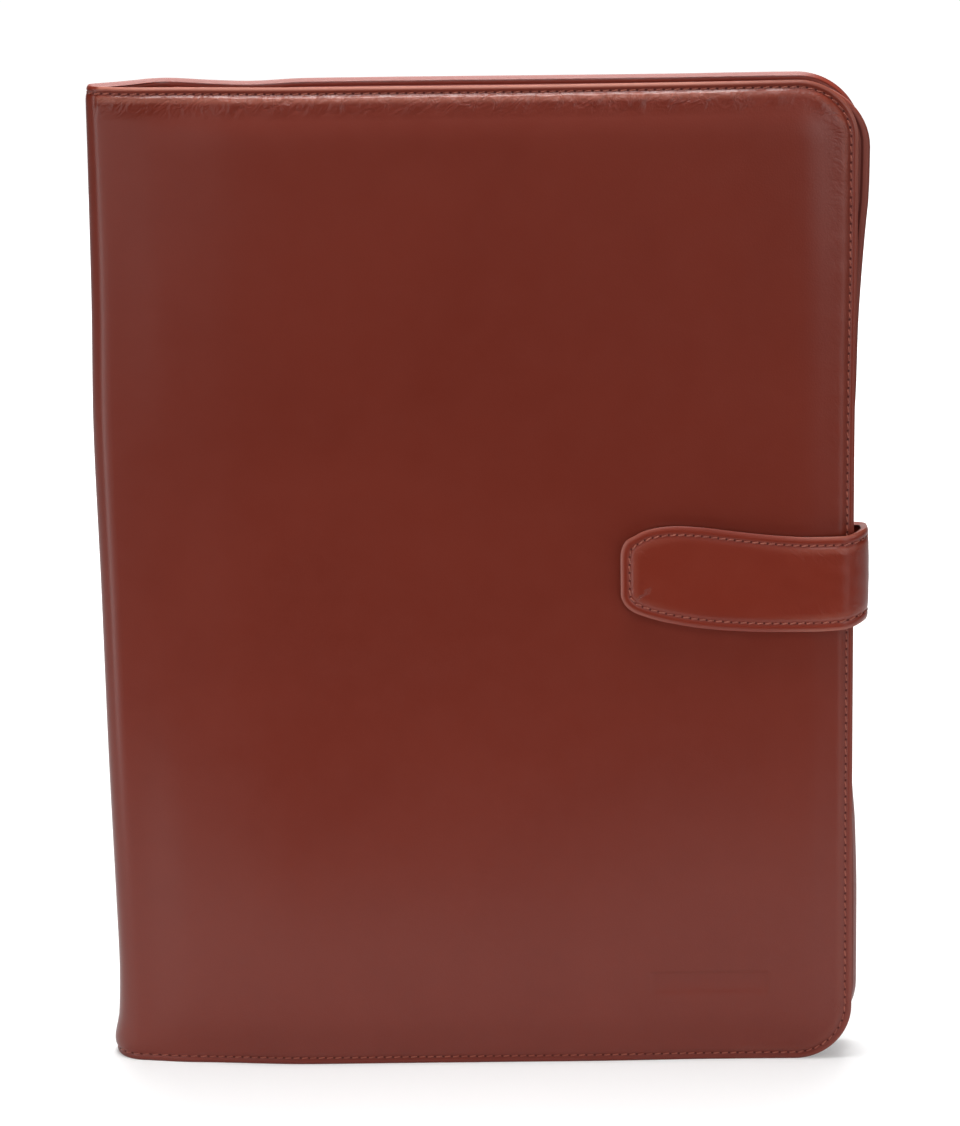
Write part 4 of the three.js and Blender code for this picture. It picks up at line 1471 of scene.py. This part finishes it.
@dataclass
class Studio:
    """Floor, lights and the camera of the photograph."""

    form: CaseForm
    camera_place: tuple[float, float, float] = (53.1, -1447.5, 563.3)
    pitch: float = math.radians(14.99)
    yaw: float = math.radians(-2.103)
    roll: float = math.radians(-0.908)
    focal_pixels: float = 4438
    sensor: float = 36
    world_light: float = 0.02
    background: float = 1.05
    glow_reach: tuple[float, float] = (0.25, 1.1)
    glow_near: float = 0.3
    glow_far: float = 1.0
    floor_size: float = 8
    floor_front: float = -0.25
    softboxes: tuple[Softbox, ...] = (
        Softbox("front_high", (0, -0.99, 1.1), (0, 0, 0.17), (0.5, 0.5), 4.6),
        Softbox("left_front", (-0.58, -1.24, 0.36), (0, 0, 0.12), (0.5, 0.5), 1.5),
        Softbox("right_front", (0.58, -1.24, 0.36), (0, 0, 0.12), (0.5, 0.5), 2.5),
        Softbox("left_side", (-1.12, -0.79, 0.4), (0, 0, 0.12), (0.5, 0.5), 3.1),
        Softbox("right_side", (1.12, -0.79, 0.4), (0, 0, 0.12), (0.5, 0.5), 1.6),
        Softbox("left_low", (-0.76, -1.13, -0.15), (0, 0, 0.1), (0.42, 0.5), 1.0),
        Softbox("left_low_side", (-1.07, -0.84, -0.15), (0, 0, 0.1), (0.42, 0.5), 3.3),
        Softbox("right_low", (0.76, -1.13, -0.15), (0, 0, 0.1), (0.42, 0.5), 0.9),
        Softbox("overhead", (0, -0.01, 1.4), (0, -0.01, 0), (0.7, 0.7), 14),
        Softbox("back_high", (0, 0.8, 1.3), (0, 0, 0.2), (0.9, 0.7), 4.5),
        Softbox("backdrop", (0, 1.6, 0.55), (0, 0, 0.3), (3.4, 1.6), 0.6),
    )

    def camera(self) -> None:
        """Sets the camera where the photograph was taken from."""
        ahead = Vector((math.sin(self.yaw), math.cos(self.yaw), 0))
        look = math.cos(self.pitch) * ahead - math.sin(self.pitch) * Vector((0, 0, 1))
        level = Vector((math.cos(self.yaw), -math.sin(self.yaw), 0))
        above = level.cross(look)
        right = math.cos(self.roll) * level + math.sin(self.roll) * above
        up = -math.sin(self.roll) * level + math.cos(self.roll) * above
        data = bpy.data.cameras.new("photo_camera")
        data.sensor_width = self.sensor
        data.lens = self.focal_pixels / max(PHOTO_SIZE) * self.sensor
        data.clip_end = 50
        stand = bpy.data.objects.new("photo_camera", data)
        axes = Matrix((right, up, -look)).transposed().to_4x4()
        place = self.form.placed(np.array([self.camera_place]))[0] * MM
        stand.matrix_world = Matrix.Translation(Vector(place)) @ axes
        bpy.context.scene.collection.objects.link(stand)
        bpy.context.scene.camera = stand

    def floor(self) -> bpy.types.Object:
        """Lays a white floor, which ends a little in front of the case as a table does. It glows for camera
        rays only, less near the case, so that it shows white while the case's own shadow on it still shows.

        Returns:
            The floor.
        """
        bpy.ops.object.select_all(action="DESELECT")
        bpy.ops.mesh.primitive_plane_add(
            size=self.floor_size, location=(0, self.floor_front + self.floor_size / 2, 0))
        bpy.ops.object.transform_apply(location=True, rotation=False, scale=False)
        floor = bpy.context.object
        floor.name = "floor"
        paint, sheet = new_material("white_floor")
        seen = sheet.add("ShaderNodeLightPath").outputs["Is Camera Ray"]
        away = sheet.vector("LENGTH", sheet.add("ShaderNodeTexCoord").outputs["Object"]).outputs["Value"]
        glow = sheet.ramp(away, *self.glow_reach, self.glow_near, self.glow_far)
        sheet.shader(Base_Color=(0.7, 0.7, 0.7, 1), Roughness=0.9, Emission_Color=(1, 1, 1, 1),
                     Emission_Strength=sheet.times(seen, glow), Specular_IOR_Level=0.1)
        take_finish(floor, paint)
        return floor

    def surroundings(self) -> None:
        """Makes a white background that lights the object only a little."""
        world = bpy.data.worlds.new("studio")
        bpy.context.scene.world = world
        world.use_nodes = True
        sheet = NodeSheet(world.node_tree)
        seen = sheet.add("ShaderNodeLightPath").outputs["Is Camera Ray"]
        strength = sheet.times(seen, self.background - self.world_light)
        strength = sheet.math("ADD", strength, self.world_light)
        back = sheet.feed(sheet.add("ShaderNodeBackground"), Color=(1, 1, 1, 1), Strength=strength)
        sheet.feed(sheet.add("ShaderNodeOutputWorld"), Surface=back.outputs[0])

    def build(self) -> None:
        """Sets up everything round the object."""
        self.camera()
        self.floor()
        self.surroundings()
        for softbox in self.softboxes:
            softbox.light()
        bpy.context.scene.view_settings.view_transform = "Standard"


def case_form() -> CaseForm:
    """The case's sizes, with its place in the row frame taken from the press stud."""
    low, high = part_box("press_stud")
    middle = (low + high) / 2 / MM
    unmoved = CaseForm()
    strap = ClosureStrap(unmoved)
    stud_from_tip, stud_thickness = 18, 0.8
    stud_x = unmoved.lip_x - strap.reach + stud_from_tip
    stud_y = unmoved.front_y - unmoved.pad_height - unmoved.seat_gap - stud_thickness / 2
    return CaseForm(shift=(middle.x - stud_x, middle.y - stud_y))


def report(piece: bpy.types.Object) -> None:
    """Logs a piece and its number of triangles."""
    piece.data.calc_loop_triangles()
    log.info("%s: %d triangles", piece.name, len(piece.data.loop_triangles))


def write_sizes() -> None:
    """Brings the scene's placements up to date."""
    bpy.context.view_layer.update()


def main() -> None:
    """Builds and dresses the case and its studio."""
    logging.basicConfig(level=logging.INFO, format="%(name)s %(message)s")
    form = case_form()
    log.info("case shift in millimetres: %.3f %.3f", *form.shift)
    Studio(form).build()
    effects = Effects()
    wrap_leather = LeatherFinish(
        "wrap_leather", srgb(121, 45, 31), srgb(117, 42, 28), srgb(127, 50, 36), srgb(130, 54, 41),
    ).material(effects)
    panel_leather = LeatherFinish(
        "panel_leather", srgb(136, 62, 48), srgb(124, 52, 40), srgb(142, 70, 56), srgb(128, 62, 50),
        roughness=0.42).material(effects)
    strap_leather = LeatherFinish(
        "strap_leather", srgb(134, 47, 29), srgb(126, 42, 25), srgb(140, 54, 36), srgb(142, 60, 46),
        roughness=0.3, crease_reach=60.0, inset=3.0).material(effects)
    tonal_thread = ThreadFinish("tonal_thread", srgb(166, 88, 68), srgb(146, 68, 50)).material()
    stud_brass = BrassFinish("stud_brass", srgb(176, 148, 96), srgb(112, 88, 58)).material()

    cover = CoverWrap(form)
    wrap = cover.build()
    cover.dress(wrap, wrap_leather)
    report(wrap)
    for side in Side:
        lining = InnerPanel(form, side)
        panel = lining.build()
        lining.dress(panel, panel_leather)
        report(panel)
    closure = ClosureStrap(form)
    strap = closure.build()
    closure.dress(strap, strap_leather)
    report(strap)
    thread = ThreadStitch()
    sewn = ((cover.stitches(thread), "wrap_leather"), (closure.stitches(thread), "strap_leather"))
    for row, leather in sewn:
        take_finish(row, tonal_thread)
        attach(row, "root")
        report(row)
    take_finish(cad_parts["press_stud"], stud_brass)
    write_sizes()


if __name__ == "__main__":
    main()
